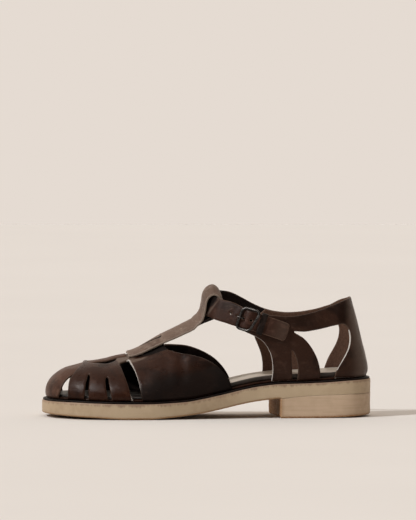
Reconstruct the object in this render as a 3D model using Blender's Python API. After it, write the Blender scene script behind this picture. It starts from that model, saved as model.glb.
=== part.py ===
"""Left fisherman sandal with a T-bar: crepe sole and heel, covered footbed, caged upper, buckled ankle strap.

Lengths are worked out in millimetres on the last: station runs forward from the back of the heel,
side is positive towards the inner (medial) side of the foot, height is above the floor.
place() turns them into the part's own frame in metres: toe towards -X, heel towards +X, medial +Y, +Z up.
"""

import bisect
import math

import bmesh
import bpy
from mathutils import Vector
from mathutils.geometry import delaunay_2d_cdt

# ---------------------------------------------------------------- driving dimensions, mm
SOLE_LENGTH = 295.0
HEEL_ROUND = 34.0  # length of the rounded heel end of the outline
TOE_ROUND = 56.0  # length of the rounded toe end
HEEL_POWER = 2.1
TOE_POWER = 2.2
HEEL_BREAST = 86.5
LEATHER = 2.2
GAP = 0.3  # between pieces that touch
MIDSOLE = 1.3
MARGIN = 2.0  # the turned-in leather under the footbed
MARGIN_WIDTH = 7.0
WAIST = 110.0  # station where the front and the back of the upper meet under the footbed
UPPER_INSET = 4.2  # from the edge of the crepe to the face of the upper
FOOTBED_INSET = UPPER_INSET + LEATHER + 2 * GAP
SIDE_SHIFT = 0.95  # centres the outline
PATTERN_STEP = 6.0  # spacing of the faceted leather

POLE = SOLE_LENGTH - TOE_ROUND  # station where the toe's meridians start
HEEL_POLE = HEEL_ROUND
HEEL_QUARTER = 46.0  # length round the heel from its back to HEEL_POLE

TOE_STRAP_DROP = 1.2  # it passes under the front bridge of the cage
TOE_STRAP_RISE = 0.8  # and over the rear one

TBAR_FRONT = 219.2  # station where the T-bar starts on the cage
TBAR_LOOP = 163.0  # station where it leaves the last's ridge for the loop

HOLE_RADIUS = 1.0
HOLE_SPACING = 6.7
PRONG_HOLE_RADIUS = 1.7
PRONG_HOLE = 3.8  # from the buckle's bar towards the toe
WIRE = 1.2  # radius of the buckle's frame
BAR_WIRE = 0.8
PRONG_WIRE = 0.85
BUCKLE_STATION = 114.6
BUCKLE_HALF = (7.6, 9.7)  # along and across the strap
BUCKLE_CORNER = 4.0
BUCKLE_LEAN = math.radians(5)  # of its sides, towards the strap's tip
BUCKLE_SKEW = 0.2  # how much more the side next to the tip leans
BUCKLE_LIFT = 3.9  # of the frame above the middle of the strap
BUCKLE_TILT = 0.08  # of the frame, up towards the tip
BAR_BUMP = 2.6  # how far the strap rises over the bar
BAR_BUMP_REACH = 8.0
KEEPER_STATION = 102.6
KEEPER_WIDTH = 5.6
KEEPER_THICK = 1.2

# ---------------------------------------------------------------- tables, mm
# The crepe sole: centre line and half width before the ends are rounded, its top and its underside.
SOLE_COLUMNS = ("station", "centre", "half", "top", "under")
SOLE_ROWS = (
    (0, 0.0, 33.2, 34.1, 21.6),
    (25, 0.0, 33.2, 33.2, 21.1),
    (45, -0.1, 33.8, 31.8, 20.5),
    (65, -0.4, 33.8, 31.0, 19.4),
    (87, -2.0, 32.6, 30.4, 17.2),
    (105, -4.0, 31.7, 28.5, 15.2),
    (120, -5.2, 32.2, 25.7, 12.6),
    (136, -6.0, 33.8, 22.0, 9.0),
    (157, -5.8, 37.8, 17.8, 4.8),
    (172, -4.9, 42.0, 15.5, 2.8),
    (188, -3.4, 46.6, 14.6, 1.2),
    (205, -2.3, 50.2, 14.0, 0.0),
    (228, -1.0, 51.2, 14.1, 0.0),
    (250, 0.9, 50.2, 14.5, 1.2),
    (275, 3.2, 49.2, 15.0, 2.2),
    (295, 4.5, 48.6, 14.8, 3.2),
)
# How far the heel's bottom is rockered up at the back.
HEEL_COLUMNS = ("station", "bottom")
HEEL_ROWS = ((0, 2.1), (12, 1.5), (30, 0.6), (48, 0.0), (90, 0.0))
# Thickness of the footbed above the midsole.
FOOTBED_COLUMNS = ("station", "thick")
FOOTBED_ROWS = ((0, 7.2), (60, 7.2), (110, 7.1), (140, 6.6), (200, 5.0), (250, 4.4), (295, 4.2))
# The last's ridge, and the shape of its sections: height falls as (1 - r**fall)**(1/square).
LAST_COLUMNS = ("station", "ridge", "ridge_side", "fall", "square", "bulge")
LAST_ROWS = (
    (120, 100.0, 3.0, 1.6, 2.0, 1.5),
    (140, 93.0, 3.6, 1.6, 2.0, 1.5),
    (160, 84.9, 4.0, 1.55, 2.0, 1.5),
    (176, 77.0, 4.0, 1.5, 2.0, 1.6),
    (190, 70.1, 4.0, 1.5, 2.05, 1.8),
    (203, 62.5, 4.0, 1.5, 2.1, 2.0),
    (211, 58.3, 4.0, 1.5, 2.15, 2.1),
    (219, 55.7, 4.0, 1.5, 2.2, 2.2),
    (239, 52.4, 4.0, 1.5, 2.3, 2.2),
)
TOE_SQUARE = 2.85  # the toe's front is squarer than its sides
TOE_BULGE = 1.6
# The wall of the heel part by height above its foot: station of its back, and how far it stands out
# from the foot's outline beside the heel and at the quarter.
WALL_COLUMNS = ("rise", "back", "heel_spread", "quarter_spread")
WALL_ROWS = (
    (-3, 5.2, -0.4, -0.2),
    (0, 4.2, 0.0, 0.0),
    (7, 2.3, 1.7, 2.0),
    (20, 4.6, 1.6, 3.8),
    (32, 7.8, 0.2, 3.9),
    (50, 12.1, -3.0, 3.0),
    (62, 15.5, -5.4, 1.6),
    (73, 18.5, -7.6, 0.2),
)
QUARTER_STATION = 90.0  # from here forward quarter_spread holds
TUCK_STATION = 92.0  # and from here the wall follows the ankle inwards
TUCK = 0.0105
# The middle of the T-bar's thickness over the ridge's end, round the ankle strap and back beneath.
TBAR_LOOP_ROWS = (
    (158.0, 89.0), (153.4, 94.4), (151.2, 102.6), (150.2, 109.2), (148.5, 113.1), (146.2, 115.3),
    (143.0, 116.6), (140.2, 115.6), (138.0, 113.2), (136.4, 109.4), (135.5, 104.8), (136.0, 100.0),
    (138.4, 95.4), (142.4, 91.8), (147.6, 89.6), (152.6, 87.6), (156.6, 85.7), (159.2, 83.7),
)
# The T-bar's edges by station: lengths from the ridge, lateral and medial.
TBAR_COLUMNS = ("station", "lateral", "medial")
TBAR_ROWS = (
    (130, 17.6, 8.0), (165, 19.0, 8.4), (188, 19.4, 8.2), (205, 18.4, 6.4), (219.2, 16.8, 4.6),
)
# The ankle strap's middle line from its medial end over the instep to its tip, its width, and the
# lean of its upper edge (along the foot and to the side, for each unit of height).
STRAP_COLUMNS = ("row", "station", "side", "height", "width", "lean", "side_lean")
STRAP_ROWS = (
    (0, 72.0, 31.9, 82.0, 18.4, 0.0, -0.10),
    (1, 84.0, 31.1, 83.4, 18.4, 0.0, -0.10),
    (2, 95.0, 30.4, 86.3, 18.2, 0.0, -0.12),
    (3, 107.0, 28.0, 91.5, 18.0, -0.05, -0.16),
    (4, 118.0, 24.4, 97.5, 17.8, -0.12, -0.20),
    (5, 129.0, 19.8, 102.4, 17.6, -0.18, -0.18),
    (6, 141.0, 14.8, 103.8, 17.5, -0.26, -0.12),
    (7, 147.0, 7.4, 104.2, 17.4, -0.36, -0.05),
    (8, 147.4, -0.5, 102.4, 17.6, -0.38, 0.0),
    (9, 145.6, -9.0, 99.7, 18.1, -0.32, 0.06),
    (10, 140.2, -17.6, 96.6, 19.0, -0.26, 0.12),
    (11, 130.5, -23.6, 93.9, 19.6, -0.16, 0.16),
    (12, 123.8, -26.8, 91.1, 18.6, -0.08, 0.16),
    (13, 117.6, -30.0, 88.8, 17.0, -0.04, 0.14),
    (14, 109.6, -33.2, 86.5, 16.8, 0.0, 0.12),
    (15, 101.8, -35.2, 84.0, 16.4, 0.0, 0.10),
    (16, 94.4, -35.7, 81.5, 16.4, 0.0, 0.09),
    (17, 87.2, -35.2, 79.1, 16.4, 0.0, 0.08),
    (18, 79.8, -34.6, 76.4, 16.2, 0.0, 0.08),
)


class Table:
    """Named columns against the first one, joined by smooth curves that never overshoot a row."""

    def __init__(self, columns, rows):
        self.keys = [row[0] for row in rows]
        self.columns = {}
        for index, name in enumerate(columns[1:], start=1):
            self.columns[name] = [row[index] for row in rows]
        self.slopes = {name: self._slopes(values) for name, values in self.columns.items()}

    def _slopes(self, values):
        keys = self.keys
        steps = [keys[i + 1] - keys[i] for i in range(len(keys) - 1)]
        rises = [(values[i + 1] - values[i]) / steps[i] for i in range(len(steps))]
        slopes = [rises[0]]
        for i in range(1, len(steps)):
            before, after = rises[i - 1], rises[i]
            if before * after <= 0:
                slopes.append(0.0)
            else:
                slopes.append(2 * before * after / (before + after))
        return slopes + [rises[-1]]

    def __call__(self, name, key):
        keys, values, slopes = self.keys, self.columns[name], self.slopes[name]
        if key <= keys[0]:
            return values[0]
        if key >= keys[-1]:
            return values[-1]
        i = bisect.bisect_right(keys, key) - 1
        step = keys[i + 1] - keys[i]
        t = (key - keys[i]) / step
        return (
            values[i] * (1 + 2 * t) * (1 - t) ** 2
            + slopes[i] * step * t * (1 - t) ** 2
            + values[i + 1] * t * t * (3 - 2 * t)
            + slopes[i + 1] * step * t * t * (t - 1)
        )


SOLE = Table(SOLE_COLUMNS, SOLE_ROWS)
HEEL = Table(HEEL_COLUMNS, HEEL_ROWS)
FOOTBED = Table(FOOTBED_COLUMNS, FOOTBED_ROWS)
LAST = Table(LAST_COLUMNS, LAST_ROWS)
WALL = Table(WALL_COLUMNS, WALL_ROWS)
TBAR = Table(TBAR_COLUMNS, TBAR_ROWS)
STRAP = Table(STRAP_COLUMNS, STRAP_ROWS)


def place(point):
    """A point (station, side, height) in mm as the part's own position in metres."""
    station, side, height = point
    return Vector((SOLE_LENGTH / 2 - station, side + SIDE_SHIFT, height)) / 1000


# ---------------------------------------------------------------- the sole's outline
def end_round(station, inset):
    """How much of the half width is left where the outline rounds off, 1 to 0."""
    if station < HEEL_ROUND:
        share = (HEEL_ROUND - station) / (HEEL_ROUND - inset)
        power = HEEL_POWER
    elif station > POLE:
        share = (station - POLE) / (TOE_ROUND - inset)
        power = TOE_POWER
    else:
        return 1.0
    return max(0.0, 1 - share**power) ** (1 / power)


def edge(station, sign, inset):
    """The outline's side, inset from the crepe's edge. sign is -1 lateral, +1 medial."""
    half = (SOLE("half", station) - inset) * end_round(station, inset)
    return SOLE("centre", station) + sign * half


def outline_stations(inset, heel=7, middle=19, toe=9):
    """Stations from tip to tip, closer together where the outline turns."""
    stations = []
    for i in range(heel):
        angle = math.pi / 2 * i / heel
        stations.append(HEEL_ROUND - (HEEL_ROUND - inset) * math.cos(angle) ** (2 / HEEL_POWER))
    for i in range(middle + 1):
        stations.append(HEEL_ROUND + (POLE - HEEL_ROUND) * i / middle)
    for i in range(1, toe + 1):
        angle = math.pi / 2 * i / toe
        stations.append(POLE + (TOE_ROUND - inset) * math.sin(angle) ** (2 / TOE_POWER))
    return stations


def ring(stations, inset, height):
    """One level of a piece: tip, lateral side, tip, medial side back. height is a function of station."""
    first, last = stations[0], stations[-1]
    points = [(first, edge(first, 1, inset), height(first))]
    points += [(s, edge(s, -1, inset), height(s)) for s in stations[1:-1]]
    points.append((last, edge(last, 1, inset), height(last)))
    points += [(s, edge(s, 1, inset), height(s)) for s in reversed(stations[1:-1])]
    return points


def foot_height(station):
    """The underside of the upper's margin, which is where its walls start."""
    return SOLE("top", station) + GAP + MIDSOLE + GAP


# ---------------------------------------------------------------- the last: cage and wings
def meridian(start, end, fall, square, bulge, steps=40):
    """The last's profile from its ridge (start) to its foot (end), as points and running lengths."""
    outward = Vector((end[0] - start[0], end[1] - start[1], 0))
    reach = outward.length
    outward.normalize()
    points, lengths = [], []
    for i in range(steps + 1):
        angle = math.pi / 2 * i / steps
        across = math.sin(angle) ** (2 / fall)
        up = max(0.0, math.cos(angle)) ** (2 / square)
        point = Vector(start) + outward * (reach * across + bulge * math.sin(math.pi * math.sqrt(up)))
        point.z = end[2] + (start[2] - end[2]) * up
        lengths.append(lengths[-1] + (point - points[-1]).length if points else 0.0)
        points.append(point)
    return points, lengths


MERIDIANS = {}


def meridian_at(along, across):
    """The meridian through a point of the flat pattern, and how far down it the point lies."""
    forward = along - POLE
    if forward <= 0:
        sign = 1 if across >= 0 else -1
        key = (round(along, 3), sign)
        reach = abs(across)
    else:
        angle = math.atan2(across, forward)
        key = ("toe", round(angle, 5))
        reach = math.hypot(forward, across)
    if key not in MERIDIANS:
        station = min(along, POLE)
        start = (station, LAST("ridge_side", station), LAST("ridge", station))
        if forward <= 0:
            end = (station, edge(station, sign, UPPER_INSET), foot_height(station))
            square, bulge = LAST("square", station), LAST("bulge", station)
        else:
            sign = 1 if angle >= 0 else -1
            front = abs(math.cos(angle))
            end_station = POLE + (TOE_ROUND - UPPER_INSET) * front ** (2 / TOE_POWER)
            half = (SOLE("half", end_station) - UPPER_INSET) * abs(math.sin(angle)) ** (2 / TOE_POWER)
            end = (end_station, SOLE("centre", end_station) + sign * half, foot_height(end_station))
            square = LAST("square", POLE) * (1 - front) + TOE_SQUARE * front
            bulge = LAST("bulge", POLE) * (1 - front) + TOE_BULGE * front
        MERIDIANS[key] = meridian(start, end, LAST("fall", station), square, bulge)
    return MERIDIANS[key], reach


def last_point(along, across):
    """The flat pattern bent over the last: a point of its outer face."""
    (points, lengths), reach = meridian_at(along, across)
    i = min(bisect.bisect_right(lengths, reach), len(lengths) - 1)
    step = lengths[i] - lengths[i - 1]
    return points[i - 1].lerp(points[i], (reach - lengths[i - 1]) / step)


def girth(along, across):
    """Length of the meridian on which a point of the flat pattern lies."""
    return meridian_at(along, across)[0][1][-1]


def foot(station, sign):
    """The flat pattern's point at the foot of the last, half a millimetre up."""
    if station <= POLE:
        return (station, sign * (girth(station, sign) - 0.5))
    share = (station - POLE) / (TOE_ROUND - UPPER_INSET)
    angle = math.acos(share ** (TOE_POWER / 2))
    reach = girth(POLE + math.cos(angle), sign * math.sin(angle)) - 0.5
    return (POLE + reach * math.cos(angle), sign * reach * math.sin(angle))


def side(station, height, sign):
    """The flat pattern's point at a station and a height on one side of the last."""
    def reach_at(along, across):
        (points, lengths), _ = meridian_at(along, across)
        for i in range(1, len(points)):
            if points[i].z <= height:
                share = (points[i - 1].z - height) / (points[i - 1].z - points[i].z)
                return (
                    lengths[i - 1] + share * (lengths[i] - lengths[i - 1]),
                    points[i - 1].lerp(points[i], share),
                )
        return lengths[-1], points[-1]

    if station <= POLE:
        return (station, sign * reach_at(station, sign)[0])
    low, high = 0.0, math.pi / 2
    for _ in range(30):
        angle = (low + high) / 2
        reach, point = reach_at(POLE + math.cos(angle), sign * math.sin(angle))
        if point.x > station:
            low = angle
        else:
            high = angle
    return (POLE + reach * math.cos(angle), sign * reach * math.sin(angle))


# ---------------------------------------------------------------- the heel part's wall
def wall_point(round_heel, height):
    """The wall of quarters and counter. round_heel is the length round the heel from its back."""
    sign = 1 if round_heel >= 0 else -1
    reach = abs(round_heel)
    if reach >= HEEL_QUARTER:
        station = HEEL_POLE + reach - HEEL_QUARTER
        rise = height - foot_height(station)
        share = min(1.0, (station - HEEL_POLE) / (QUARTER_STATION - HEEL_POLE))
        share = share * share * (3 - 2 * share)
        spread = WALL("heel_spread", rise) * (1 - share) + WALL("quarter_spread", rise) * share
        spread -= TUCK * max(0.0, station - TUCK_STATION) ** 2
        return Vector((station, edge(station, sign, UPPER_INSET) + sign * spread, height))
    angle = reach / HEEL_QUARTER * math.pi / 2
    rise = height - foot_height(HEEL_POLE / 2)
    back = HEEL_POLE - WALL("back", rise)
    half = SOLE("half", HEEL_POLE) - UPPER_INSET + WALL("heel_spread", rise)
    station = HEEL_POLE - back * math.cos(angle) ** (2 / HEEL_POWER)
    return Vector((station, sign * half * math.sin(angle) ** (2 / HEEL_POWER), height))


def round_heel(station, height, sign):
    """The heel part's flat coordinate of a station at a height on one side."""
    if station >= HEEL_POLE:
        return (sign * (HEEL_QUARTER + station - HEEL_POLE), height)
    back = HEEL_POLE - WALL("back", height - foot_height(HEEL_POLE / 2))
    share = min(1.0, (HEEL_POLE - station) / back)
    angle = math.acos(share ** (HEEL_POWER / 2))
    return (sign * HEEL_QUARTER * angle / (math.pi / 2), height)


# ---------------------------------------------------------------- flat patterns
def curve_through(points, step):
    """A smooth curve through hand-set points, with a point about every step, ends kept."""
    out = []
    for i in range(len(points) - 1):
        before = points[max(i - 1, 0)]
        start, end = points[i], points[i + 1]
        after = points[min(i + 2, len(points) - 1)]
        count = max(1, round(math.dist(start, end) / step))
        for k in range(count):
            t = k / count
            out.append(tuple(
                0.5 * (2 * b + (c - a) * t + (2 * a - 5 * b + 4 * c - d) * t * t
                       + (3 * b - a - 3 * c + d) * t**3)
                for a, b, c, d in zip(before, start, end, after)
            ))
    return out + [tuple(points[-1])]


def joined(*runs):
    """Curves end to end as one loop, without the points they share."""
    loop = []
    for run in runs:
        for point in run:
            if not loop or math.dist(point, loop[-1]) > 0.3:
                loop.append(point)
    while math.dist(loop[0], loop[-1]) < 0.3:
        loop.pop()
    return loop


def inside(point, loops):
    """Whether a point lies in the pattern: inside an odd number of its loops."""
    x, y = point
    odd = False
    for loop in loops:
        for (x1, y1), (x2, y2) in zip(loop, loop[1:] + loop[:1]):
            if (y1 > y) != (y2 > y) and x < x1 + (y - y1) / (y2 - y1) * (x2 - x1):
                odd = not odd
    return odd


def near_edge(point, loops, distance):
    """Whether a point is closer to a loop than distance."""
    x, y = point
    for loop in loops:
        for (x1, y1), (x2, y2) in zip(loop, loop[1:] + loop[:1]):
            dx, dy = x2 - x1, y2 - y1
            t = max(0.0, min(1.0, ((x - x1) * dx + (y - y1) * dy) / (dx * dx + dy * dy)))
            if math.hypot(x - x1 - t * dx, y - y1 - t * dy) < distance:
                return True
    return False


def cut_pattern(loops, step):
    """Triangles of a flat pattern: an outer loop and the holes in it."""
    points, edges = [], []
    for loop in loops:
        first = len(points)
        points += [Vector(p) for p in loop]
        count = len(loop)
        edges += [(first + i, first + (i + 1) % count) for i in range(count)]
    low = [min(p[i] for p in loops[0]) for i in (0, 1)]
    high = [max(p[i] for p in loops[0]) for i in (0, 1)]
    row_step = step * math.sqrt(3) / 2
    for row in range(int((high[1] - low[1]) / row_step) + 1):
        for column in range(int((high[0] - low[0]) / step) + 1):
            point = (low[0] + (column + row % 2 / 2) * step, low[1] + row * row_step)
            if inside(point, loops) and not near_edge(point, loops, 0.6 * step):
                points.append(Vector(point))
    found = delaunay_2d_cdt(points, edges, [], 0, 1e-4)
    flat, triangles = found[0], []
    for triangle in found[2]:
        centre = sum((flat[i] for i in triangle), Vector((0, 0))) / 3
        if inside(centre, loops):
            triangles.append(tuple(triangle))
    return [tuple(p) for p in flat], triangles


def surface_normal(surface, a, b, step=0.6):
    """The outward normal of a bent pattern."""
    along = surface(a + step, b) - surface(a - step, b)
    across = surface(a, b + step) - surface(a, b - step)
    return along.cross(across).normalized()


def bent_plate(name, loops, surface, lift, flip, step=PATTERN_STEP):
    """A flat pattern bent over a surface with the leather's thickness inside it."""
    flat, triangles = cut_pattern(loops, step)
    outer, inner = [], []
    for a, b in flat:
        point = surface(a, b)
        normal = surface_normal(surface, a, b) * flip
        rise = lift(a, b)
        outer.append(point + normal * rise)
        inner.append(point + normal * (rise - LEATHER))
    count = len(flat)
    faces = list(triangles) + [tuple(i + count for i in reversed(t)) for t in triangles]
    sides = {}
    for t in triangles:
        for i in range(3):
            pair = (t[i], t[(i + 1) % 3])
            if (pair[1], pair[0]) in sides:
                del sides[(pair[1], pair[0])]
            else:
                sides[pair] = True
    faces += [(b, a, a + count, b + count) for a, b in sides]
    return solid(name, outer + inner, faces)


# ---------------------------------------------------------------- Blender objects
PARTS = "fisherman_sandal"
CUTTERS = "cutters"
COLOURS = {
    "crepe": ((0.40, 0.31, 0.22, 1), 0.8, 0.0),
    "leather": ((0.045, 0.024, 0.016, 1), 0.45, 0.0),
    "footbed_leather": ((0.07, 0.045, 0.03, 1), 0.5, 0.0),
    "gunmetal": ((0.12, 0.12, 0.125, 1), 0.3, 1.0),
}


def clear_scene():
    for old in list(bpy.data.objects):
        bpy.data.objects.remove(old, do_unlink=True)
    for name in (PARTS, CUTTERS):
        group = bpy.data.collections.new(name)
        bpy.context.scene.collection.children.link(group)


def material_of(name, finish):
    """The piece's own material, in the colours of its finish."""
    colour, roughness, metallic = COLOURS[finish]
    material = bpy.data.materials.new(name)
    material.use_nodes = True
    shader = material.node_tree.nodes["Principled BSDF"]
    shader.inputs["Base Color"].default_value = colour
    shader.inputs["Roughness"].default_value = roughness
    shader.inputs["Metallic"].default_value = metallic
    return material


def solid(name, points, faces):
    """A closed mesh object from points in mm on the last."""
    mesh = bpy.data.meshes.new(name)
    mesh.from_pydata([place(p) for p in points], [], faces)
    work = bmesh.new()
    work.from_mesh(mesh)
    bmesh.ops.recalc_face_normals(work, faces=work.faces)
    if work.calc_volume(signed=True) < 0:
        bmesh.ops.reverse_faces(work, faces=work.faces)
    work.to_mesh(mesh)
    work.free()
    return bpy.data.objects.new(name, mesh)


def keep(piece, finish):
    """Puts a finished piece in the part's collection with its material."""
    piece.data.materials.clear()
    piece.data.materials.append(material_of(piece.name, finish))
    bpy.data.collections[PARTS].objects.link(piece)
    return piece


def set_aside(piece):
    """Puts a cutter, or a piece that is joined to another, out of the part."""
    bpy.data.collections[CUTTERS].objects.link(piece)
    piece.hide_render = True
    piece.display_type = "WIRE"
    return piece


def boolean(target, tool, operation):
    modifier = target.modifiers.new(f"{operation.lower()} {tool.name}", "BOOLEAN")
    modifier.operation = operation
    modifier.object = set_aside(tool)


def stacked(name, rings):
    """A solid from rings of equal count, one above the other, with ladder caps."""
    count = len(rings[0])
    points = [point for level in rings for point in level]
    faces = []
    for level in range(len(rings) - 1):
        for i in range(count):
            j = (i + 1) % count
            low, high = level * count, (level + 1) * count
            faces.append((low + i, low + j, high + j, high + i))
    half = count // 2
    for base in (0, (len(rings) - 1) * count):
        faces.append((base, base + 1, base + count - 1))
        for i in range(1, half - 1):
            faces.append((base + i, base + i + 1, base + count - i - 1, base + count - i))
        faces.append((base + half - 1, base + half, base + half + 1))
    return solid(name, points, faces)


def swept(name, sections):
    """A solid from equal closed sections in a row, with capped ends."""
    count = len(sections[0])
    points = [point for section in sections for point in section]
    faces = []
    for row in range(len(sections) - 1):
        for i in range(count):
            j = (i + 1) % count
            a, b = row * count, (row + 1) * count
            faces.append((a + i, a + j, b + j, b + i))
    last = (len(sections) - 1) * count
    half = count // 2
    for base in (0, last):
        for i in range(half - 1):
            faces.append((base + i, base + i + 1, base + count - 2 - i, base + count - 1 - i))
    return solid(name, points, faces)


# ---------------------------------------------------------------- sole and footbed
def add_outsole():
    """The crepe runner: full outline, arch and toe spring, with softened edges."""
    soft = 1.2
    rings = [
        ring(outline_stations(soft), soft, lambda s: SOLE("under", s)),
        ring(outline_stations(0), 0, lambda s: SOLE("under", s) + soft),
        ring(outline_stations(0), 0, lambda s: SOLE("top", s) - soft / 2),
        ring(outline_stations(soft / 2), soft / 2, lambda s: SOLE("top", s)),
    ]
    keep(stacked("outsole", rings), "crepe")


def heel_ring(inset, height):
    """One level of the heel block: the outline up to the breast, which is slightly hollow."""
    front = HEEL_BREAST - inset
    stations = [s for s in outline_stations(inset) if s < front - 4]
    lateral, medial, hollow = front - 0.9, front + 0.9, front - 1.8
    points = [(stations[0], 0.0, height(stations[0]))]
    points += [(s, edge(s, -1, inset), height(s)) for s in stations[1:] + [lateral]]
    points.append((hollow, SOLE("centre", front), height(hollow)))
    points += [(s, edge(s, 1, inset), height(s)) for s in [medial] + stations[:0:-1]]
    return points


def add_heel_block():
    """The stacked crepe heel under the runner, its bottom rockered at the back."""
    soft = 1.0
    rings = [
        heel_ring(soft, lambda s: HEEL("bottom", s)),
        heel_ring(0, lambda s: HEEL("bottom", s) + soft),
        heel_ring(0, lambda s: SOLE("under", s) - GAP),
    ]
    keep(stacked("heel_block", rings), "crepe")


def add_midsole():
    """The thin leather layer on top of the crepe."""
    inset = 0.8
    low = lambda s: SOLE("top", s) + GAP
    rings = [
        ring(outline_stations(inset), inset, low),
        ring(outline_stations(inset), inset, lambda s: low(s) + MIDSOLE),
    ]
    keep(stacked("midsole", rings), "leather")


def add_footbed():
    """The covered footbed, stepped underneath to leave room for the upper's margin, with a cupped top."""
    plug = UPPER_INSET + LEATHER / 2 + MARGIN_WIDTH + GAP
    flare, soft, cup = 0.7, 0.9, 13.0
    above_margin = lambda s: foot_height(s) + MARGIN + GAP
    top = lambda s: SOLE("top", s) + GAP + MIDSOLE + FOOTBED("thick", s)
    wide = FOOTBED_INSET - flare
    rings = [
        ring(outline_stations(plug), plug, foot_height),
        ring(outline_stations(plug), plug, above_margin),
        ring(outline_stations(FOOTBED_INSET), FOOTBED_INSET, above_margin),
        ring(outline_stations(wide), wide, lambda s: top(s) - soft),
        ring(outline_stations(wide + soft), wide + soft, top),
        ring(outline_stations(wide + cup), wide + cup, lambda s: top(s) - 1.1),
    ]
    keep(stacked("footbed", rings), "footbed_leather")


# ---------------------------------------------------------------- the upper
# Cuts of the cage: (station, height) down each side, lateral values. Near the ridge they are
# (station, across), where across is the length from the ridge over the leather.
CAGE_FRONT_TOP = ((259.0, 0), (260.2, 10))
CAGE_FRONT_SIDE = ((265.2, 44.8), (269.9, 40.0), (272.8, 36.2), (274.7, 32.0), (275.6, 27.5), (276.2, 21.0))
SLIT_1 = (
    (262.2, None), (262.4, 22.0), (262.0, 26.3), (260.8, 32.8), (258.8, 37.8), (257.4, 39.6),
    (256.4, 38.6), (257.6, 33.0), (258.6, 27.0), (258.7, 22.0), (258.4, None),
)
SLIT_2 = (
    (241.4, None), (242.9, 24.5), (243.5, 31.0), (243.3, 35.6), (241.9, 37.9),
    (240.5, 36.8), (240.3, 31.0), (239.5, 24.5), (238.0, None),
)
WING_GAP_LATERAL = (
    (219.4, None), (221.6, 22.5), (223.8, 31.0), (226.4, 40.5), (228.2, 46.8), (228.5, 48.4), (226.8, 49.4),
    (222.0, 50.9), (220.0, 51.4), (218.9, 49.4), (215.4, 40.0), (213.3, 30.5), (212.4, 23.0), (210.8, None),
)
WING_GAP_MEDIAL = (
    (222.6, None), (224.6, 22.5), (226.8, 30.0), (228.6, 37.0), (229.4, 42.0), (228.6, 44.0), (225.4, 45.2),
    (223.4, 45.0), (221.6, 42.4), (219.2, 35.0), (217.2, 28.0), (215.6, 22.5), (214.6, None),
)
WING_REAR_LATERAL = (
    (128.8, None), (130.4, 31.4), (132.6, 36.4), (138.6, 43.2), (146.2, 49.6),
    (155.2, 54.2), (166.4, 57.0), (177.6, 59.0), (185.0, 61.2),
)
WING_REAR_MEDIAL = (
    (121.6, None), (123.6, 31.0), (126.6, 37.2), (131.0, 43.6), (137.4, 50.2),
    (145.0, 55.2), (153.0, 59.0), (161.5, 62.0), (170.0, 63.8), (178.0, 64.8), (184.0, 65.2),
)
# How much further back the inner side's front edge and its two slits lie.
MEDIAL_SHIFTS = (8.0, 5.0, 0.0)
WING_REAR_TOP = ((188.6, 19.5), (188.4, 10.0))
SPINE_REAR = 187.0  # where the cage ends on the ridge, under the T-bar
OPENING_LATERAL = (
    (255.4, 0), (256.2, 6.0), (255.6, 11.5), (252.0, 15.6), (246.0, 18.8), (240.0, 20.4), (234.6, 18.8),
    (231.0, 14.0), (229.4, 7.0), (229.0, 0),
)
OPENING_MEDIAL = (
    (255.4, 0), (254.6, 7.6), (252.6, 13.6), (246.0, 14.8), (238.0, 14.3), (231.6, 11.6), (229.4, 5.4),
    (229.0, 0),
)
# The toe strap's edges: along, and across on its own side.
TOE_STRAP_LATERAL = (
    (220.4, 9.6), (232, 9.8), (250, 10.8), (258, 16.0), (265, 24.5), (271, 29.8), (276.2, 30.8),
    (281.4, 33.0), (286.4, 35.6), (291.5, 37.4),
)
TOE_STRAP_MEDIAL = ((220.4, 9.6), (232, 10.0), (246, 11.6), (258, 16.4), (268, 24.5))
TOE_STRAP_FOOT = (283.4, 273.0)  # stations where its lateral and its medial edge reach the foot
# The heel part: (station, height).
TOPLINE_LATERAL = (
    (17.4, 107.4), (23.0, 106.0), (33.0, 102.4), (46.0, 97.4), (59.0, 93.7), (70.0, 91.6),
    (80.0, 91.0), (94.0, 92.2), (104.0, 93.0), (114.0, 93.4),
)
TAB_END = ((114.0, 93.4), (117.6, 86.0), (117.0, 77.0))
QUARTER_FRONT_LATERAL = (
    (117.0, 77.0), (110.6, 74.2), (105.6, 71.6), (99.8, 66.7), (94.8, 58.0), (93.2, 52.0),
    (92.4, 44.0), (92.6, 38.0), (93.2, None),
)
TOPLINE_MEDIAL = (
    (17.4, 107.4), (24.0, 103.8), (34.5, 98.4), (47.0, 94.7), (61.0, 92.2), (73.0, 91.6),
    (84.0, 92.3), (92.0, 94.5),
)
QUARTER_FRONT_MEDIAL = (
    (92.0, 94.5), (98.6, 88.0), (101.3, 79.0), (101.6, 70.0), (98.8, 63.0), (95.6, 55.0), (94.0, 47.0),
    (94.0, 40.0), (94.6, None),
)
QUARTER_SLIT = (
    (74.2, None), (75.0, 46.0), (75.6, 55.0), (75.3, 60.6), (73.0, 58.4), (70.4, 51.0), (69.3, 43.0),
    (69.8, None),
)
REAR_GAP_LATERAL = (
    (49.3, None), (49.4, 42.0), (51.4, 51.0), (54.9, 59.0), (59.4, 66.0), (65.0, 71.9), (73.2, 77.3),
    (63.0, 77.3), (54.6, 78.5), (46.0, 80.2), (37.0, 82.4), (28.4, 84.1), (24.4, 82.0),
    (22.0, 77.6), (21.2, 71.6), (21.9, 66.0), (24.4, 59.4), (28.6, 52.2), (32.2, 46.4), (35.0, 40.6),
    (36.2, None),
)
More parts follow.
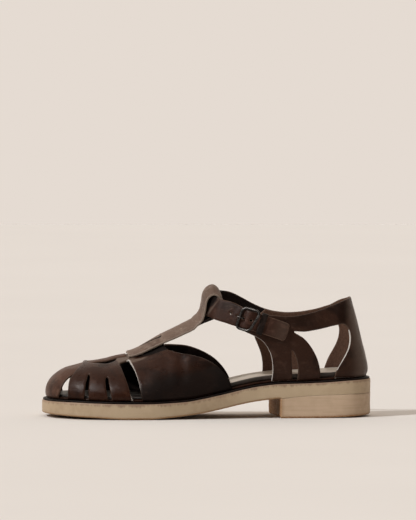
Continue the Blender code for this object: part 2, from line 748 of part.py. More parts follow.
REAR_GAP_MEDIAL = (
    (49.3, None), (49.4, 42.0), (51.4, 51.0), (54.9, 59.0), (59.4, 66.0), (65.0, 71.9), (73.2, 77.3),
    (63.0, 77.3), (54.6, 78.5), (46.0, 80.2), (37.0, 82.4), (29.4, 84.0), (25.8, 82.0),
    (24.0, 77.6), (24.2, 71.6), (25.6, 66.0), (28.6, 59.4), (32.6, 52.2), (35.2, 46.4), (37.2, 40.6),
    (38.0, None),
)


def cage_edge(rows, sign, shift):
    """An edge down the side of the last, smooth between its ends. None stands for the foot."""
    flat = [
        foot(station - shift, sign) if height is None else side(station - shift, height, sign)
        for station, height in rows
    ]
    return curve_through(flat, PATTERN_STEP * 0.8)


def heel_edge(rows, sign):
    """An edge of the heel part, smooth between its ends. None stands for the foot."""
    flat = [
        round_heel(station, foot_height(station) + 0.5 if height is None else height, sign)
        for station, height in rows
    ]
    return curve_through(flat, PATTERN_STEP * 0.8)


def foot_run(start, end, sign, at):
    """The foot between two stations, both left out."""
    count = max(2, round(abs(end - start) / 4))
    return [at(start + (end - start) * i / count, sign) for i in range(1, count)]


def cage_half(sign, shifts, gap, rear):
    """One side of the cage's outline, from the ridge at the front to the ridge at the back."""
    shift = shifts[0]
    rows = [(a - shift * b / 40, sign * b) for a, b in CAGE_FRONT_TOP]
    rows += [side(s - shift, h, sign) for s, h in CAGE_FRONT_SIDE]
    station = CAGE_FRONT_SIDE[-1][0] + 0.2 - shift
    loop = curve_through(rows + [foot(station, sign)], PATTERN_STEP * 0.8)
    for cut, shift in ((SLIT_1, shifts[1]), (SLIT_2, shifts[2]), (gap, 0.0)):
        loop += foot_run(station, cut[0][0] - shift, sign, foot)
        loop += cage_edge(cut, sign, shift)
        station = cut[-1][0] - shift
    loop += foot_run(station, rear[0][0], sign, foot)
    loop += cage_edge(rear, sign, 0.0)
    return loop + [(a, sign * b) for a, b in WING_REAR_TOP]


def cage_loops():
    lateral = cage_half(-1, (0.0, 0.0, 0.0), WING_GAP_LATERAL, WING_REAR_LATERAL)
    medial = cage_half(1, MEDIAL_SHIFTS, WING_GAP_MEDIAL, WING_REAR_MEDIAL)
    outer = joined(lateral, [(SPINE_REAR, 0.0)], medial[:0:-1])
    lateral = curve_through([(a, -b) for a, b in OPENING_LATERAL], PATTERN_STEP * 0.8)
    medial = curve_through(list(OPENING_MEDIAL), PATTERN_STEP * 0.8)
    opening = joined(lateral, medial[::-1])
    return [outer, opening]


def toe_strap_loop():
    lateral = [(a, -b) for a, b in TOE_STRAP_LATERAL] + [foot(TOE_STRAP_FOOT[0], -1)]
    medial = list(TOE_STRAP_MEDIAL) + [foot(TOE_STRAP_FOOT[1], 1)]
    tip = []
    angles = [math.atan2(point[1], point[0] - POLE) for point in (lateral[-1], medial[-1])]
    for i in range(1, 12):
        angle = angles[0] + (angles[1] - angles[0]) * i / 12
        reach = girth(POLE + math.cos(angle), math.sin(angle)) - 0.5
        tip.append((POLE + reach * math.cos(angle), reach * math.sin(angle)))
    step = PATTERN_STEP * 0.8
    return joined(curve_through(lateral, step), tip, curve_through(medial[::-1], step))


def eased(value, low, high):
    """0 up to low, 1 from high, with a smooth step between."""
    share = max(0.0, min(1.0, (value - low) / (high - low)))
    return share * share * (3 - 2 * share)


def toe_strap_lift(along, across):
    """It is flush at the toe, dips under the front bridge and rises over the rear one."""
    at_toe = eased(math.hypot(along - POLE, across), 26, 40) if along > POLE else 0.0
    rear = 1 - eased(along, 226, 248)
    return (TOE_STRAP_RISE * rear - TOE_STRAP_DROP * (1 - rear)) * (1 - at_toe)


def heel_foot(station, sign):
    return round_heel(station, foot_height(station) + 0.5, sign)


def heel_half(sign, topline, front, gap):
    """One side of the heel part's outline, from the top of the back to the foot of the back."""
    loop = heel_edge(topline, sign)
    if sign < 0:
        loop += heel_edge(TAB_END, sign)
    loop += heel_edge(front, sign)
    station = front[-1][0]
    for cut in (QUARTER_SLIT, gap):
        loop += foot_run(station, cut[0][0], sign, heel_foot)
        loop += heel_edge(cut, sign)
        station = cut[-1][0]
    start = heel_foot(station, sign)[0]
    count = 8
    low = foot_height(HEEL_POLE / 2) + 0.5
    return loop + [(start * (1 - i / count), low) for i in range(1, count)]


def heel_loops():
    lateral = heel_half(-1, TOPLINE_LATERAL, QUARTER_FRONT_LATERAL, REAR_GAP_LATERAL)
    medial = heel_half(1, TOPLINE_MEDIAL, QUARTER_FRONT_MEDIAL, REAR_GAP_MEDIAL)
    low = foot_height(HEEL_POLE / 2) + 0.5
    return [joined(lateral, [(0.0, low)], medial[:0:-1])]


def margin_halves():
    """The turned-in leather under the footbed, its four corners at each step round the foot, in two
    runs: from the waist round the toe, and from the waist round the heel."""
    near, far = UPPER_INSET + LEATHER / 2, UPPER_INSET + LEATHER / 2 + MARGIN_WIDTH
    levels = ((near, 0.0), (near, MARGIN), (far, MARGIN), (far, 0.0))
    ends = [WAIST - GAP / 2, WAIST + GAP / 2]
    rings = [
        ring(sorted(outline_stations(inset) + ends), inset, lambda s, up=up: foot_height(s) + up)
        for inset, up in levels
    ]
    sections = list(zip(*rings))
    front = [i for i, corners in enumerate(sections) if corners[0][0] > WAIST]
    first, last = front[0], front[-1]
    return sections[first : last + 1], sections[last + 1 :] + sections[:first]


def add_upper():
    """The front, which is the cage and the toe strap, and the back, which is the quarters and the
    counter, each joined by the margin that holds it to the sole."""
    front_margin, back_margin = margin_halves()
    flat = lambda a, b: 0.0
    front = keep(swept("upper_front", front_margin), "leather")
    boolean(front, bent_plate("cage", cage_loops(), last_point, flat, 1), "UNION")
    toe_strap = bent_plate("toe_strap", [toe_strap_loop()], last_point, toe_strap_lift, 1)
    boolean(front, toe_strap, "UNION")
    back = keep(swept("upper_back", back_margin), "leather")
    boolean(back, bent_plate("heel_part", heel_loops(), wall_point, flat, -1), "UNION")


# ---------------------------------------------------------------- T-bar
def tbar_path():
    """The middle of the T-bar's thickness in the ridge's plane, as (station, height)."""
    path = []
    for station in (TBAR_FRONT, 213.5, 208, 202.5, 197, 192.5, 188, 183, 177.5, 172, 167.5, TBAR_LOOP):
        slope = (LAST("ridge", station - 1) - LAST("ridge", station + 1)) / 2
        lift = (GAP + LEATHER / 2) / math.hypot(1, slope)
        path.append((station + lift * slope, LAST("ridge", station) + lift))
    return path[:-1] + curve_through([path[-1], *TBAR_LOOP_ROWS], 3.6)


def add_tbar():
    """A strap from the cage up the instep, round the ankle strap and back beneath itself."""
    path = tbar_path()
    columns = 7
    top = max(range(len(path)), key=lambda i: path[i][1])
    sections = []
    for i, (station, height) in enumerate(path):
        before, after = path[max(i - 1, 0)], path[min(i + 1, len(path) - 1)]
        tangent = Vector((after[0] - before[0], after[1] - before[1])).normalized()
        normal = Vector((tangent.y, -tangent.x)) * (LEATHER / 2)
        on_last = max(TBAR_LOOP, station)
        lateral, medial = TBAR("lateral", station), TBAR("medial", station)
        falls = (1.0, 1 - 0.7 * eased(height, 86, 104))  # of the lateral and the medial side
        if i > top:  # the return hardly falls
            falls = (1 - 0.55 * eased(i - top, 1, 6), 0.3)
        outer, inner = [], []
        for k in range(columns + 1):
            across = -lateral + (lateral + medial) * k / columns
            point = last_point(on_last, across)
            drop = (last_point(on_last, 0.0).z - point.z) * falls[across > 0]
            outer.append((station + normal.x, point.y, height + normal.y - drop))
            inner.append((station - normal.x, point.y, height - normal.y - drop))
        sections.append(outer + inner[::-1])
    keep(swept("t_bar", sections), "leather")


# ---------------------------------------------------------------- ankle strap and buckle
class StrapPath:
    """The ankle strap's middle line by length, with its direction, its upward edge and its outer side."""

    STEP = 0.02  # of a row

    def __init__(self):
        last = STRAP_ROWS[-1][0]
        self.rows = [i * self.STEP for i in range(round(last / self.STEP) + 1)]
        self.points = [self.middle(row) for row in self.rows]
        self.lengths = [0.0]
        for before, after in zip(self.points, self.points[1:]):
            self.lengths.append(self.lengths[-1] + (after - before).length)
        lateral = [i for i, point in enumerate(self.points) if point.y < 0 and point.x < BUCKLE_STATION]
        self.bar = self.lengths[lateral[0]]
        keeper = [i for i in lateral if self.points[i].x < KEEPER_STATION]
        self.keeper = self.lengths[keeper[0]]

    @staticmethod
    def middle(row):
        return Vector((STRAP("station", row), STRAP("side", row), STRAP("height", row)))

    def frame(self, length):
        """Middle point, direction towards the tip, upward edge and outward side at a length."""
        i = min(max(bisect.bisect_left(self.lengths, length), 3), len(self.rows) - 4)
        row = self.rows[i]
        direction = (self.points[i + 3] - self.points[i - 3]).normalized()
        up = Vector((STRAP("lean", row), STRAP("side_lean", row), 1.0))
        up = (up - direction * up.dot(direction)).normalized()
        out = direction.cross(up).normalized()
        middle = self.points[i] + direction * (length - self.lengths[i])
        if out.dot(Vector((middle.x - 85, middle.y, 0))) < 0:
            out = -out
        return middle, direction, up, out

    def bump(self, length):
        """How far the strap rises over the buckle's bar."""
        share = min(1.0, abs(length - self.bar) / BAR_BUMP_REACH)
        return BAR_BUMP * math.cos(math.pi / 2 * share) ** 2

    def at(self, length, across, off):
        """A point off the strap's middle surface: across it and out from it."""
        middle, _, up, out = self.frame(length)
        return middle + up * across + out * off

    def width(self, length):
        return STRAP("width", self.rows[min(bisect.bisect_left(self.lengths, length), len(self.rows) - 1)])


def add_ankle_strap(path):
    """The strap from the medial quarter over the instep to its rounded tip, with its holes."""
    total = path.lengths[-1]
    count = 44
    lengths = [total * i / count for i in range(count)] + [total - 1.4, total - 0.5, total]
    tip = {total - 1.4: 0.93, total - 0.5: 0.84, total: 0.66, 0.0: 0.8}
    sections = []
    for length in lengths:
        half = path.width(length) / 2 * tip.get(length, 1.0)
        rise = path.bump(length)
        outer = [path.at(length, across, rise + LEATHER / 2) for across in (-half, 0, half)]
        inner = [path.at(length, across, rise - LEATHER / 2) for across in (half, 0, -half)]
        sections.append(outer + inner)
    strap = keep(swept("ankle_strap", sections), "leather")
    holes = [(path.bar - PRONG_HOLE, PRONG_HOLE_RADIUS, 10)]
    holes += [(path.bar - PRONG_HOLE - HOLE_SPACING * i, HOLE_RADIUS, 8) for i in (1, 2)]
    holes.append((path.bar - PRONG_HOLE + HOLE_SPACING, HOLE_RADIUS, 8))
    for number, (length, radius, sides) in enumerate(holes, start=1):
        middle, direction, up, out = path.frame(length)
        middle = middle + out * path.bump(length)
        hole_ends = []
        for end in (-3.0, 3.0):
            hole_ends.append([
                middle + out * end + radius * (direction * math.cos(a) + up * math.sin(a))
                for a in (2 * math.pi * k / sides for k in range(sides))
            ])
        boolean(strap, swept(f"strap_hole_{number}", hole_ends), "DIFFERENCE")


def wire(name, points, radius, closed=False):
    """A round wire through points in mm on the last."""
    curve = bpy.data.curves.new(name, "CURVE")
    curve.dimensions = "3D"
    curve.bevel_depth = radius / 1000
    curve.bevel_resolution = 1
    curve.use_fill_caps = not closed
    spline = curve.splines.new("POLY")
    spline.points.add(len(points) - 1)
    for target, point in zip(spline.points, points):
        target.co = (*place(point), 1)
    spline.use_cyclic_u = closed
    guide = bpy.data.objects.new(name, curve)
    bpy.context.scene.collection.objects.link(guide)
    graph = bpy.context.evaluated_depsgraph_get()
    mesh = bpy.data.meshes.new_from_object(guide.evaluated_get(graph))
    bpy.data.objects.remove(guide)
    work = bmesh.new()
    work.from_mesh(mesh)
    bmesh.ops.remove_doubles(work, verts=work.verts, dist=0.00001)
    bmesh.ops.recalc_face_normals(work, faces=work.faces)
    work.to_mesh(mesh)
    work.free()
    return bpy.data.objects.new(name, mesh)


def buckle_point(path, along, across, off):
    """A point of the buckle, whose sides lean on the strap and whose frame tilts a little."""
    leaning = along + across * (math.sin(BUCKLE_LEAN) + BUCKLE_SKEW * max(0.0, along / BUCKLE_HALF[0]))
    off += BUCKLE_TILT * leaning
    middle, direction, up, out = path.frame(path.bar)
    return middle + direction * leaning + up * (across * math.cos(BUCKLE_LEAN)) + out * off


def add_buckle(path):
    """A frame of round wire on the strap, with a bar behind the strap and a prong through it."""
    along, across = BUCKLE_HALF
    corners = ((1, 1, 0), (-1, 1, 90), (-1, -1, 180), (1, -1, 270))
    ring_points = []
    for sx, sy, turn in corners:
        for k in range(5):
            angle = math.radians(turn + 22.5 * k)
            ring_points.append(buckle_point(
                path,
                sx * (along - BUCKLE_CORNER) + BUCKLE_CORNER * math.cos(angle),
                sy * (across - BUCKLE_CORNER) + BUCKLE_CORNER * math.sin(angle),
                BUCKLE_LIFT,
            ))
    frame = keep(wire("buckle_frame", ring_points, WIRE, closed=True), "gunmetal")
    low = BAR_BUMP - LEATHER / 2 - GAP - BAR_WIRE - 0.1
    bar = [(across, BUCKLE_LIFT), (across, low + 0.9), (across - 0.5, low)]
    bar += [(-u, n) for u, n in reversed(bar)]
    boolean(frame, wire("buckle_bar", [buckle_point(path, 0, u, n) for u, n in bar], BAR_WIRE), "UNION")
    prong = [(2.05, 0.0), (2.7, 0.1), (3.3, 1.5), (3.6, 3.4), (4.5, 5.3), (6.2, 6.1), (9.0, 5.8)]
    points = []
    for length, off in prong:
        middle, direction, up, out = path.frame(path.bar)
        points.append(middle - direction * length + out * off)
    keep(wire("buckle_prong", points, PRONG_WIRE), "gunmetal")


def add_keeper(path):
    """A band over the strap, its ends on the quarter above and below it."""
    middle, direction, up, out = path.frame(path.keeper)
    half = path.width(path.keeper) / 2 + 2 * GAP + KEEPER_THICK / 2
    high = LEATHER / 2 + 2 * GAP + KEEPER_THICK / 2
    low = -LEATHER / 2 + KEEPER_THICK / 2
    route = [(-half, low), (-half, high - 1.0), (-half + 1.0, high), (half - 1.0, high), (half, high - 1.0), (half, low)]
    sections = []
    for i, (across, off) in enumerate(route):
        before, after = route[max(i - 1, 0)], route[min(i + 1, len(route) - 1)]
        tangent = Vector((after[0] - before[0], after[1] - before[1])).normalized()
        side_way = Vector((-tangent.y, tangent.x)) * (KEEPER_THICK / 2)
        section = []
        for end, way in ((-0.5, 1), (0.5, 1), (0.5, -1), (-0.5, -1)):
            section.append(
                middle + direction * (end * KEEPER_WIDTH)
                + up * (across + way * side_way.x) + out * (off + way * side_way.y)
            )
        sections.append(section)
    keep(swept("keeper", sections), "leather")


def main():
    clear_scene()
    add_outsole()
    add_heel_block()
    add_midsole()
    add_footbed()
    add_upper()
    add_tbar()
    path = StrapPath()
    add_ankle_strap(path)
    add_buckle(path)
    add_keeper(path)


main()
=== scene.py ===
"""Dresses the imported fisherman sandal: cut and bent leather, crepe sole and heel, buckle, floor and light.

Lengths are worked out in millimetres on the last: station runs forward from the back of the heel,
side is positive towards the inner (medial) side of the foot, height is above the floor.
place() turns them into the frame's metres: toe towards -X, heel towards +X, medial +Y, +Z up.
"""

import math

import bmesh
import bpy
import numpy as np
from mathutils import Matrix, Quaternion, Vector, noise
from mathutils.geometry import delaunay_2d_cdt


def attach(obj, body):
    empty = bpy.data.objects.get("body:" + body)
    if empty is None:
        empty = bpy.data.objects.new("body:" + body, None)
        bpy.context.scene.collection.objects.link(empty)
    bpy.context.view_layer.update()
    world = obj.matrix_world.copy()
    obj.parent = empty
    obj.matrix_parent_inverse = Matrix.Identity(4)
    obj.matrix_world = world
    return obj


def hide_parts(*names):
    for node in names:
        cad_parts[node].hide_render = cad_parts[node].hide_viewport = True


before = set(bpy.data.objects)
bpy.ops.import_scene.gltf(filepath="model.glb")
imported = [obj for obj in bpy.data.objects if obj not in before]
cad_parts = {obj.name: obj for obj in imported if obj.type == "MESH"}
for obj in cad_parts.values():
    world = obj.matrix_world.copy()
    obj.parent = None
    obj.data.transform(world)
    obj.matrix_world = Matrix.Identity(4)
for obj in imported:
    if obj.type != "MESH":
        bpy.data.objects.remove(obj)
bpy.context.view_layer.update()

# ---------------------------------------------------------------- the last's sizes, mm
SOLE_LENGTH = 295.0
HEEL_ROUND = 34.0
TOE_ROUND = 56.0
HEEL_POWER = 2.1
TOE_POWER = 2.2
HEEL_BREAST = 86.5  # the heel block's front face
HEEL_MIDDLE = 42.0
LEATHER = 2.2
GAP = 0.3  # air between pieces that lie on each other
CUT_RISE = 0.5  # the upper's lower cut edge stands this far above its margin's underside
EDGE_ROUND = 0.9  # how far in from a cut edge the leather is rounded off
EDGE_ROW = 0.45  # the row of points beside a cut edge
EDGE_STEP = 1.4
LONGEST_EDGE = 3.0
MIDSOLE = 1.3
MARGIN = 2.0  # thickness of the part of the upper that is turned in
MARGIN_WIDTH = 7.0
UPPER_INSET = 4.2  # from the crepe's edge to the upper's outer face
FOOTBED_INSET = UPPER_INSET + LEATHER + 2 * GAP
SIDE_SHIFT = 0.95  # centres the sandal on the frame
POLE = SOLE_LENGTH - TOE_ROUND  # where the toe's round begins
HEEL_QUARTER = 46.0  # length round the heel from its back to where the sides begin
TOE_STRAP_DROP = 1.2
TOE_STRAP_RISE = 0.8
TOE_SQUARE = 2.85
TOE_BULGE = 1.6
QUARTER_STATION = 90.0
TUCK_STATION = 92.0
TUCK = 0.0105  # how the quarters curl inwards ahead of that station
TBAR_FRONT = 219.2
TBAR_LOOP = 163.0  # where it leaves the instep for its loop
BUCKLE_STATION = 114.6
BUCKLE_HALF = (7.6, 9.7)
BUCKLE_CORNER = 4.0
BUCKLE_LEAN = math.radians(5)
BUCKLE_SKEW = 0.2
BUCKLE_LIFT = 3.9  # the frame above the strap's middle
BUCKLE_TILT = 0.08
WIRE = 1.2
BAR_WIRE = 0.8
PRONG_WIRE = 0.85
PRONG_HOLE = 3.8  # from the bar to the hole that the prong goes through
HOLE_SPACING = 6.7
BAR_BUMP = 2.6  # the strap's rise over the bar
BAR_BUMP_REACH = 8.0
KEEPER_STATION = 102.6
KEEPER_WIDTH = 5.6
KEEPER_THICK = 1.2

SOLE_COLUMNS = ("station", "centre", "half", "top", "under")
SOLE_ROWS = (
    (0, 0.0, 33.2, 34.1, 21.6),
    (25, 0.0, 33.2, 33.2, 21.1),
    (45, -0.1, 33.8, 31.8, 20.5),
    (65, -0.4, 33.8, 31.0, 19.4),
    (87, -2.0, 32.6, 30.4, 17.2),
    (105, -4.0, 31.7, 28.5, 15.2),
    (120, -5.2, 32.2, 25.7, 12.6),
    (136, -6.0, 33.8, 22.0, 9.0),
    (157, -5.8, 37.8, 17.8, 4.8),
    (172, -4.9, 42.0, 15.5, 2.8),
    (188, -3.4, 46.6, 14.6, 1.2),
    (205, -2.3, 50.2, 14.0, 0.0),
    (228, -1.0, 51.2, 14.1, 0.0),
    (250, 0.9, 50.2, 14.5, 1.2),
    (275, 3.2, 49.2, 15.0, 2.2),
    (295, 4.5, 48.6, 14.8, 3.2),
)
HEEL_COLUMNS = ("station", "bottom")
HEEL_ROWS = ((0, 2.1), (12, 1.5), (30, 0.6), (48, 0.0), (90, 0.0))
FOOTBED_COLUMNS = ("station", "thick")
FOOTBED_ROWS = ((0, 7.2), (60, 7.2), (110, 7.1), (140, 6.6), (200, 5.0), (250, 4.4), (295, 4.2))
LAST_COLUMNS = ("station", "ridge", "ridge_side", "fall", "square", "bulge")
LAST_ROWS = (
    (120, 100.0, 3.0, 1.6, 2.0, 1.5),
    (140, 93.0, 3.6, 1.6, 2.0, 1.5),
    (160, 84.9, 4.0, 1.55, 2.0, 1.5),
    (176, 77.0, 4.0, 1.5, 2.0, 1.6),
    (190, 70.1, 4.0, 1.5, 2.05, 1.8),
    (203, 62.5, 4.0, 1.5, 2.1, 2.0),
    (211, 58.3, 4.0, 1.5, 2.15, 2.1),
    (219, 55.7, 4.0, 1.5, 2.2, 2.2),
    (239, 52.4, 4.0, 1.5, 2.3, 2.2),
)
WALL_COLUMNS = ("rise", "back", "heel_spread", "quarter_spread")
WALL_ROWS = (
    (-3, 5.2, -0.4, -0.2),
    (0, 4.2, 0.0, 0.0),
    (7, 2.3, 1.7, 2.0),
    (20, 4.6, 1.6, 3.8),
    (32, 7.8, 0.2, 3.9),
    (50, 12.1, -3.0, 3.0),
    (62, 15.5, -5.4, 1.6),
    (73, 18.5, -7.6, 0.2),
)
TBAR_LOOP_ROWS = (
    (158.0, 89.0), (153.4, 94.4), (151.2, 102.6), (150.2, 109.2), (148.5, 113.1), (146.2, 115.3),
    (143.0, 116.6), (140.2, 115.6), (138.0, 113.2), (136.4, 109.4), (135.5, 104.8), (136.0, 100.0),
    (138.4, 95.4), (142.4, 91.8), (147.6, 89.6), (152.6, 87.6), (156.6, 85.7), (159.2, 83.7),
)
STRAP_COLUMNS = ("row", "station", "side", "height", "width", "lean", "side_lean")
STRAP_ROWS = (
    (0, 72.0, 31.9, 82.0, 18.4, 0.0, -0.10),
    (1, 84.0, 31.1, 83.4, 18.4, 0.0, -0.10),
    (2, 95.0, 30.4, 86.3, 18.2, 0.0, -0.12),
    (3, 107.0, 28.0, 91.5, 18.0, -0.05, -0.16),
    (4, 118.0, 24.4, 97.5, 17.8, -0.12, -0.20),
    (5, 129.0, 19.8, 102.4, 17.6, -0.18, -0.18),
    (6, 141.0, 14.8, 103.8, 17.5, -0.26, -0.12),
    (7, 147.0, 7.4, 104.2, 17.4, -0.36, -0.05),
    (8, 147.4, -0.5, 102.4, 17.6, -0.38, 0.0),
    (9, 145.6, -9.0, 99.7, 18.1, -0.32, 0.06),
    (10, 140.2, -17.6, 96.6, 19.0, -0.26, 0.12),
    (11, 130.5, -23.6, 93.9, 19.6, -0.16, 0.16),
    (12, 123.8, -26.8, 91.1, 18.6, -0.08, 0.16),
    (13, 117.6, -30.0, 88.8, 17.0, -0.04, 0.14),
    (14, 109.6, -33.2, 86.5, 16.8, 0.0, 0.12),
    (15, 101.8, -35.2, 84.0, 16.4, 0.0, 0.10),
    (16, 94.4, -35.7, 81.5, 16.4, 0.0, 0.09),
    (17, 87.2, -35.2, 79.1, 16.4, 0.0, 0.08),
    (18, 79.8, -34.6, 76.4, 16.2, 0.0, 0.08),
)


class Table:
    """Named columns against the first one, joined by smooth curves that never overshoot a row."""

    def __init__(self, columns, rows):
        values = np.array(rows, float)
        self.keys = values[:, 0]
        self.columns = {name: values[:, i] for i, name in enumerate(columns) if i}
        self.slopes = {name: self._slopes(column) for name, column in self.columns.items()}

    def _slopes(self, values):
        rises = np.diff(values) / np.diff(self.keys)
        before, after = rises[:-1], rises[1:]
        product = before * after
        total = np.where(product > 0, before + after, 1.0)
        inner = np.where(product > 0, 2 * product / total, 0.0)
        return np.concatenate([rises[:1], inner, rises[-1:]])

    def __call__(self, name, key):
        keys, values, slopes = self.keys, self.columns[name], self.slopes[name]
        key = np.clip(key, keys[0], keys[-1])
        i = np.clip(np.searchsorted(keys, key, side="right") - 1, 0, len(keys) - 2)
        step = keys[i + 1] - keys[i]
        t = (key - keys[i]) / step
        return (
            values[i] * (1 + 2 * t) * (1 - t) ** 2
            + slopes[i] * step * t * (1 - t) ** 2
            + values[i + 1] * t * t * (3 - 2 * t)
            + slopes[i + 1] * step * t * t * (t - 1)
        )


SOLE = Table(SOLE_COLUMNS, SOLE_ROWS)
HEEL = Table(HEEL_COLUMNS, HEEL_ROWS)
FOOTBED = Table(FOOTBED_COLUMNS, FOOTBED_ROWS)
LAST = Table(LAST_COLUMNS, LAST_ROWS)
WALL = Table(WALL_COLUMNS, WALL_ROWS)
STRAP = Table(STRAP_COLUMNS, STRAP_ROWS)


def place(points):
    """Points (station, side, height) in mm as the frame's metres."""
    points = np.asarray(points, float)
    return np.stack(
        [SOLE_LENGTH / 2 - points[..., 0], points[..., 1] + SIDE_SHIFT, points[..., 2]], axis=-1
    ) / 1000


def eased(value, low, high):
    """0 up to low, 1 from high, with a smooth step between."""
    share = np.clip((value - low) / (high - low), 0.0, 1.0)
    return share * share * (3 - 2 * share)


def ridge_of(value, middle, reach):
    """A soft hump of height 1 over middle, reach to each side."""
    share = np.clip(np.abs(value - middle) / reach, 0.0, 1.0)
    return 0.5 + 0.5 * np.cos(math.pi * share)


def bumps(points, size, seed=0.0):
    """Smooth noise from -1 to 1 at points (n, 3) in mm, with features of about size mm."""
    shift = Vector((seed * 7.3, seed * 3.1, seed * 5.7))
    return np.array([noise.noise(Vector(p) / size + shift) for p in points])


def unit(vectors):
    """Vectors made one long."""
    return vectors / np.linalg.norm(vectors, axis=-1, keepdims=True)


def run_along(points):
    """Length along a line of points, from its start."""
    return np.concatenate([[0.0], np.cumsum(np.linalg.norm(np.diff(points, axis=0), axis=1))])


def add_object(name, data):
    piece = bpy.data.objects.new(name, data)
    bpy.context.scene.collection.objects.link(piece)
    return piece


# ---------------------------------------------------------------- the sole's outline
def end_round(station, inset):
    """How much of the half width is left where the outline rounds off, 1 to 0."""
    heel = np.clip((HEEL_ROUND - station) / (HEEL_ROUND - inset), 0.0, 1.0)
    toe = np.clip((station - POLE) / (TOE_ROUND - inset), 0.0, 1.0)
    return (1 - heel**HEEL_POWER) ** (1 / HEEL_POWER) * (1 - toe**TOE_POWER) ** (1 / TOE_POWER)


def edge(station, sign, inset):
    """The outline's side, inset from the crepe's edge. sign is -1 lateral, +1 medial."""
    return SOLE("centre", station) + sign * (SOLE("half", station) - inset) * end_round(station, inset)


def outline_stations(inset, heel=20, middle=110, toe=26):
    """Stations from tip to tip, closer together where the outline turns."""
    turn = np.linspace(0, math.pi / 2, heel, endpoint=False)
    back = HEEL_ROUND - (HEEL_ROUND - inset) * np.cos(turn) ** (2 / HEEL_POWER)
    along = np.linspace(HEEL_ROUND, POLE, middle + 1)
    turn = np.linspace(0, math.pi / 2, toe + 1)[1:]
    front = POLE + (TOE_ROUND - inset) * np.sin(turn) ** (2 / TOE_POWER)
    return np.concatenate([back, along, front])


def foot_height(station):
    """The underside of the upper's margin, which is where its walls start."""
    return SOLE("top", station) + GAP + MIDSOLE + GAP


# ---------------------------------------------------------------- the last: cage and wings
def meridians(along, across, steps=60):
    """For points of the flat pattern: their meridians (n, steps + 1, 3), running lengths and reach."""
    along, across = np.asarray(along, float), np.asarray(across, float)
    forward = along - POLE
    ahead = forward > 0
    sign = np.where(across >= 0, 1.0, -1.0)
    angle = np.where(ahead, np.arctan2(across, forward), 0.0)
    reach = np.where(ahead, np.hypot(forward, across), np.abs(across))
    station = np.minimum(along, POLE)
    front = np.abs(np.cos(angle))
    end_station = np.where(
        ahead, POLE + (TOE_ROUND - UPPER_INSET) * front ** (2 / TOE_POWER), station
    )
    turn = np.where(ahead, np.abs(np.sin(angle)) ** (2 / TOE_POWER), 1.0)
    half = (SOLE("half", end_station) - UPPER_INSET) * turn
    blend = np.where(ahead, front, 0.0)
    square = LAST("square", station) * (1 - blend) + TOE_SQUARE * blend
    bulge = LAST("bulge", station) * (1 - blend) + TOE_BULGE * blend
    start = np.stack([station, LAST("ridge_side", station), LAST("ridge", station)], axis=-1)
    end_side = SOLE("centre", end_station) + sign * half
    outward = np.stack([end_station - start[:, 0], end_side - start[:, 1]], axis=-1)
    width = np.linalg.norm(outward, axis=1)
    outward /= width[:, None]
    turn = np.linspace(0, math.pi / 2, steps + 1)[None, :]
    share = np.sin(turn) ** (2 / LAST("fall", station)[:, None])
    up = np.clip(np.cos(turn), 0, 1) ** (2 / square[:, None])
    run = width[:, None] * share + bulge[:, None] * np.sin(math.pi * np.sqrt(up))
    foot_z = foot_height(end_station)[:, None]
    points = np.stack([
        start[:, 0:1] + outward[:, 0:1] * run,
        start[:, 1:2] + outward[:, 1:2] * run,
        foot_z + (start[:, 2:3] - foot_z) * up,
    ], axis=-1)
    lengths = np.zeros(points.shape[:2])
    lengths[:, 1:] = np.cumsum(np.linalg.norm(np.diff(points, axis=1), axis=2), axis=1)
    return points, lengths, reach


def last_points(along, across):
    """The flat pattern bent over the last: points of its outer face."""
    points, lengths, reach = meridians(along, across)
    i = np.clip((lengths <= reach[:, None]).sum(axis=1), 1, lengths.shape[1] - 1)
    rows = np.arange(len(i))
    low, high = lengths[rows, i - 1], lengths[rows, i]
    share = ((reach - low) / (high - low))[:, None]
    return points[rows, i - 1] * (1 - share) + points[rows, i] * share


def girth(along, across):
    """Length of the meridian on which a point of the flat pattern lies."""
    return float(meridians([along], [across])[1][0, -1])


def toe_foot(angle):
    """The flat pattern's point at the foot of the toe's round, angle from straight ahead."""
    reach = girth(POLE + math.cos(angle), math.sin(angle)) - CUT_RISE
    return (POLE + reach * math.cos(angle), reach * math.sin(angle))


def foot(station, sign):
    """The flat pattern's point at the foot of the last."""
    if station <= POLE:
        return (station, sign * (girth(station, sign) - CUT_RISE))
    share = (station - POLE) / (TOE_ROUND - UPPER_INSET)
    return toe_foot(sign * math.acos(share ** (TOE_POWER / 2)))


def side(station, height, sign):
    """The flat pattern's point at a station and a height on one side of the last."""
    def reach_at(along, across):
        points, lengths, _ = meridians([along], [across])
        points, lengths = points[0], lengths[0]
        below = np.nonzero(points[:, 2] <= height)[0]
        i = max(1, below[0]) if len(below) else len(points) - 1
        share = (points[i - 1, 2] - height) / (points[i - 1, 2] - points[i, 2])
        share = min(1.0, max(0.0, share))
        return (
            lengths[i - 1] + share * (lengths[i] - lengths[i - 1]),
            points[i - 1] + share * (points[i] - points[i - 1]),
        )

    if station <= POLE:
        return (station, sign * float(reach_at(station, sign)[0]))
    low, high = 0.0, math.pi / 2
    for _ in range(24):
        angle = (low + high) / 2
        reach, point = reach_at(POLE + math.cos(angle), sign * math.sin(angle))
        if point[0] > station:
            low = angle
        else:
            high = angle
    return (POLE + reach * math.cos(angle), sign * reach * math.sin(angle))


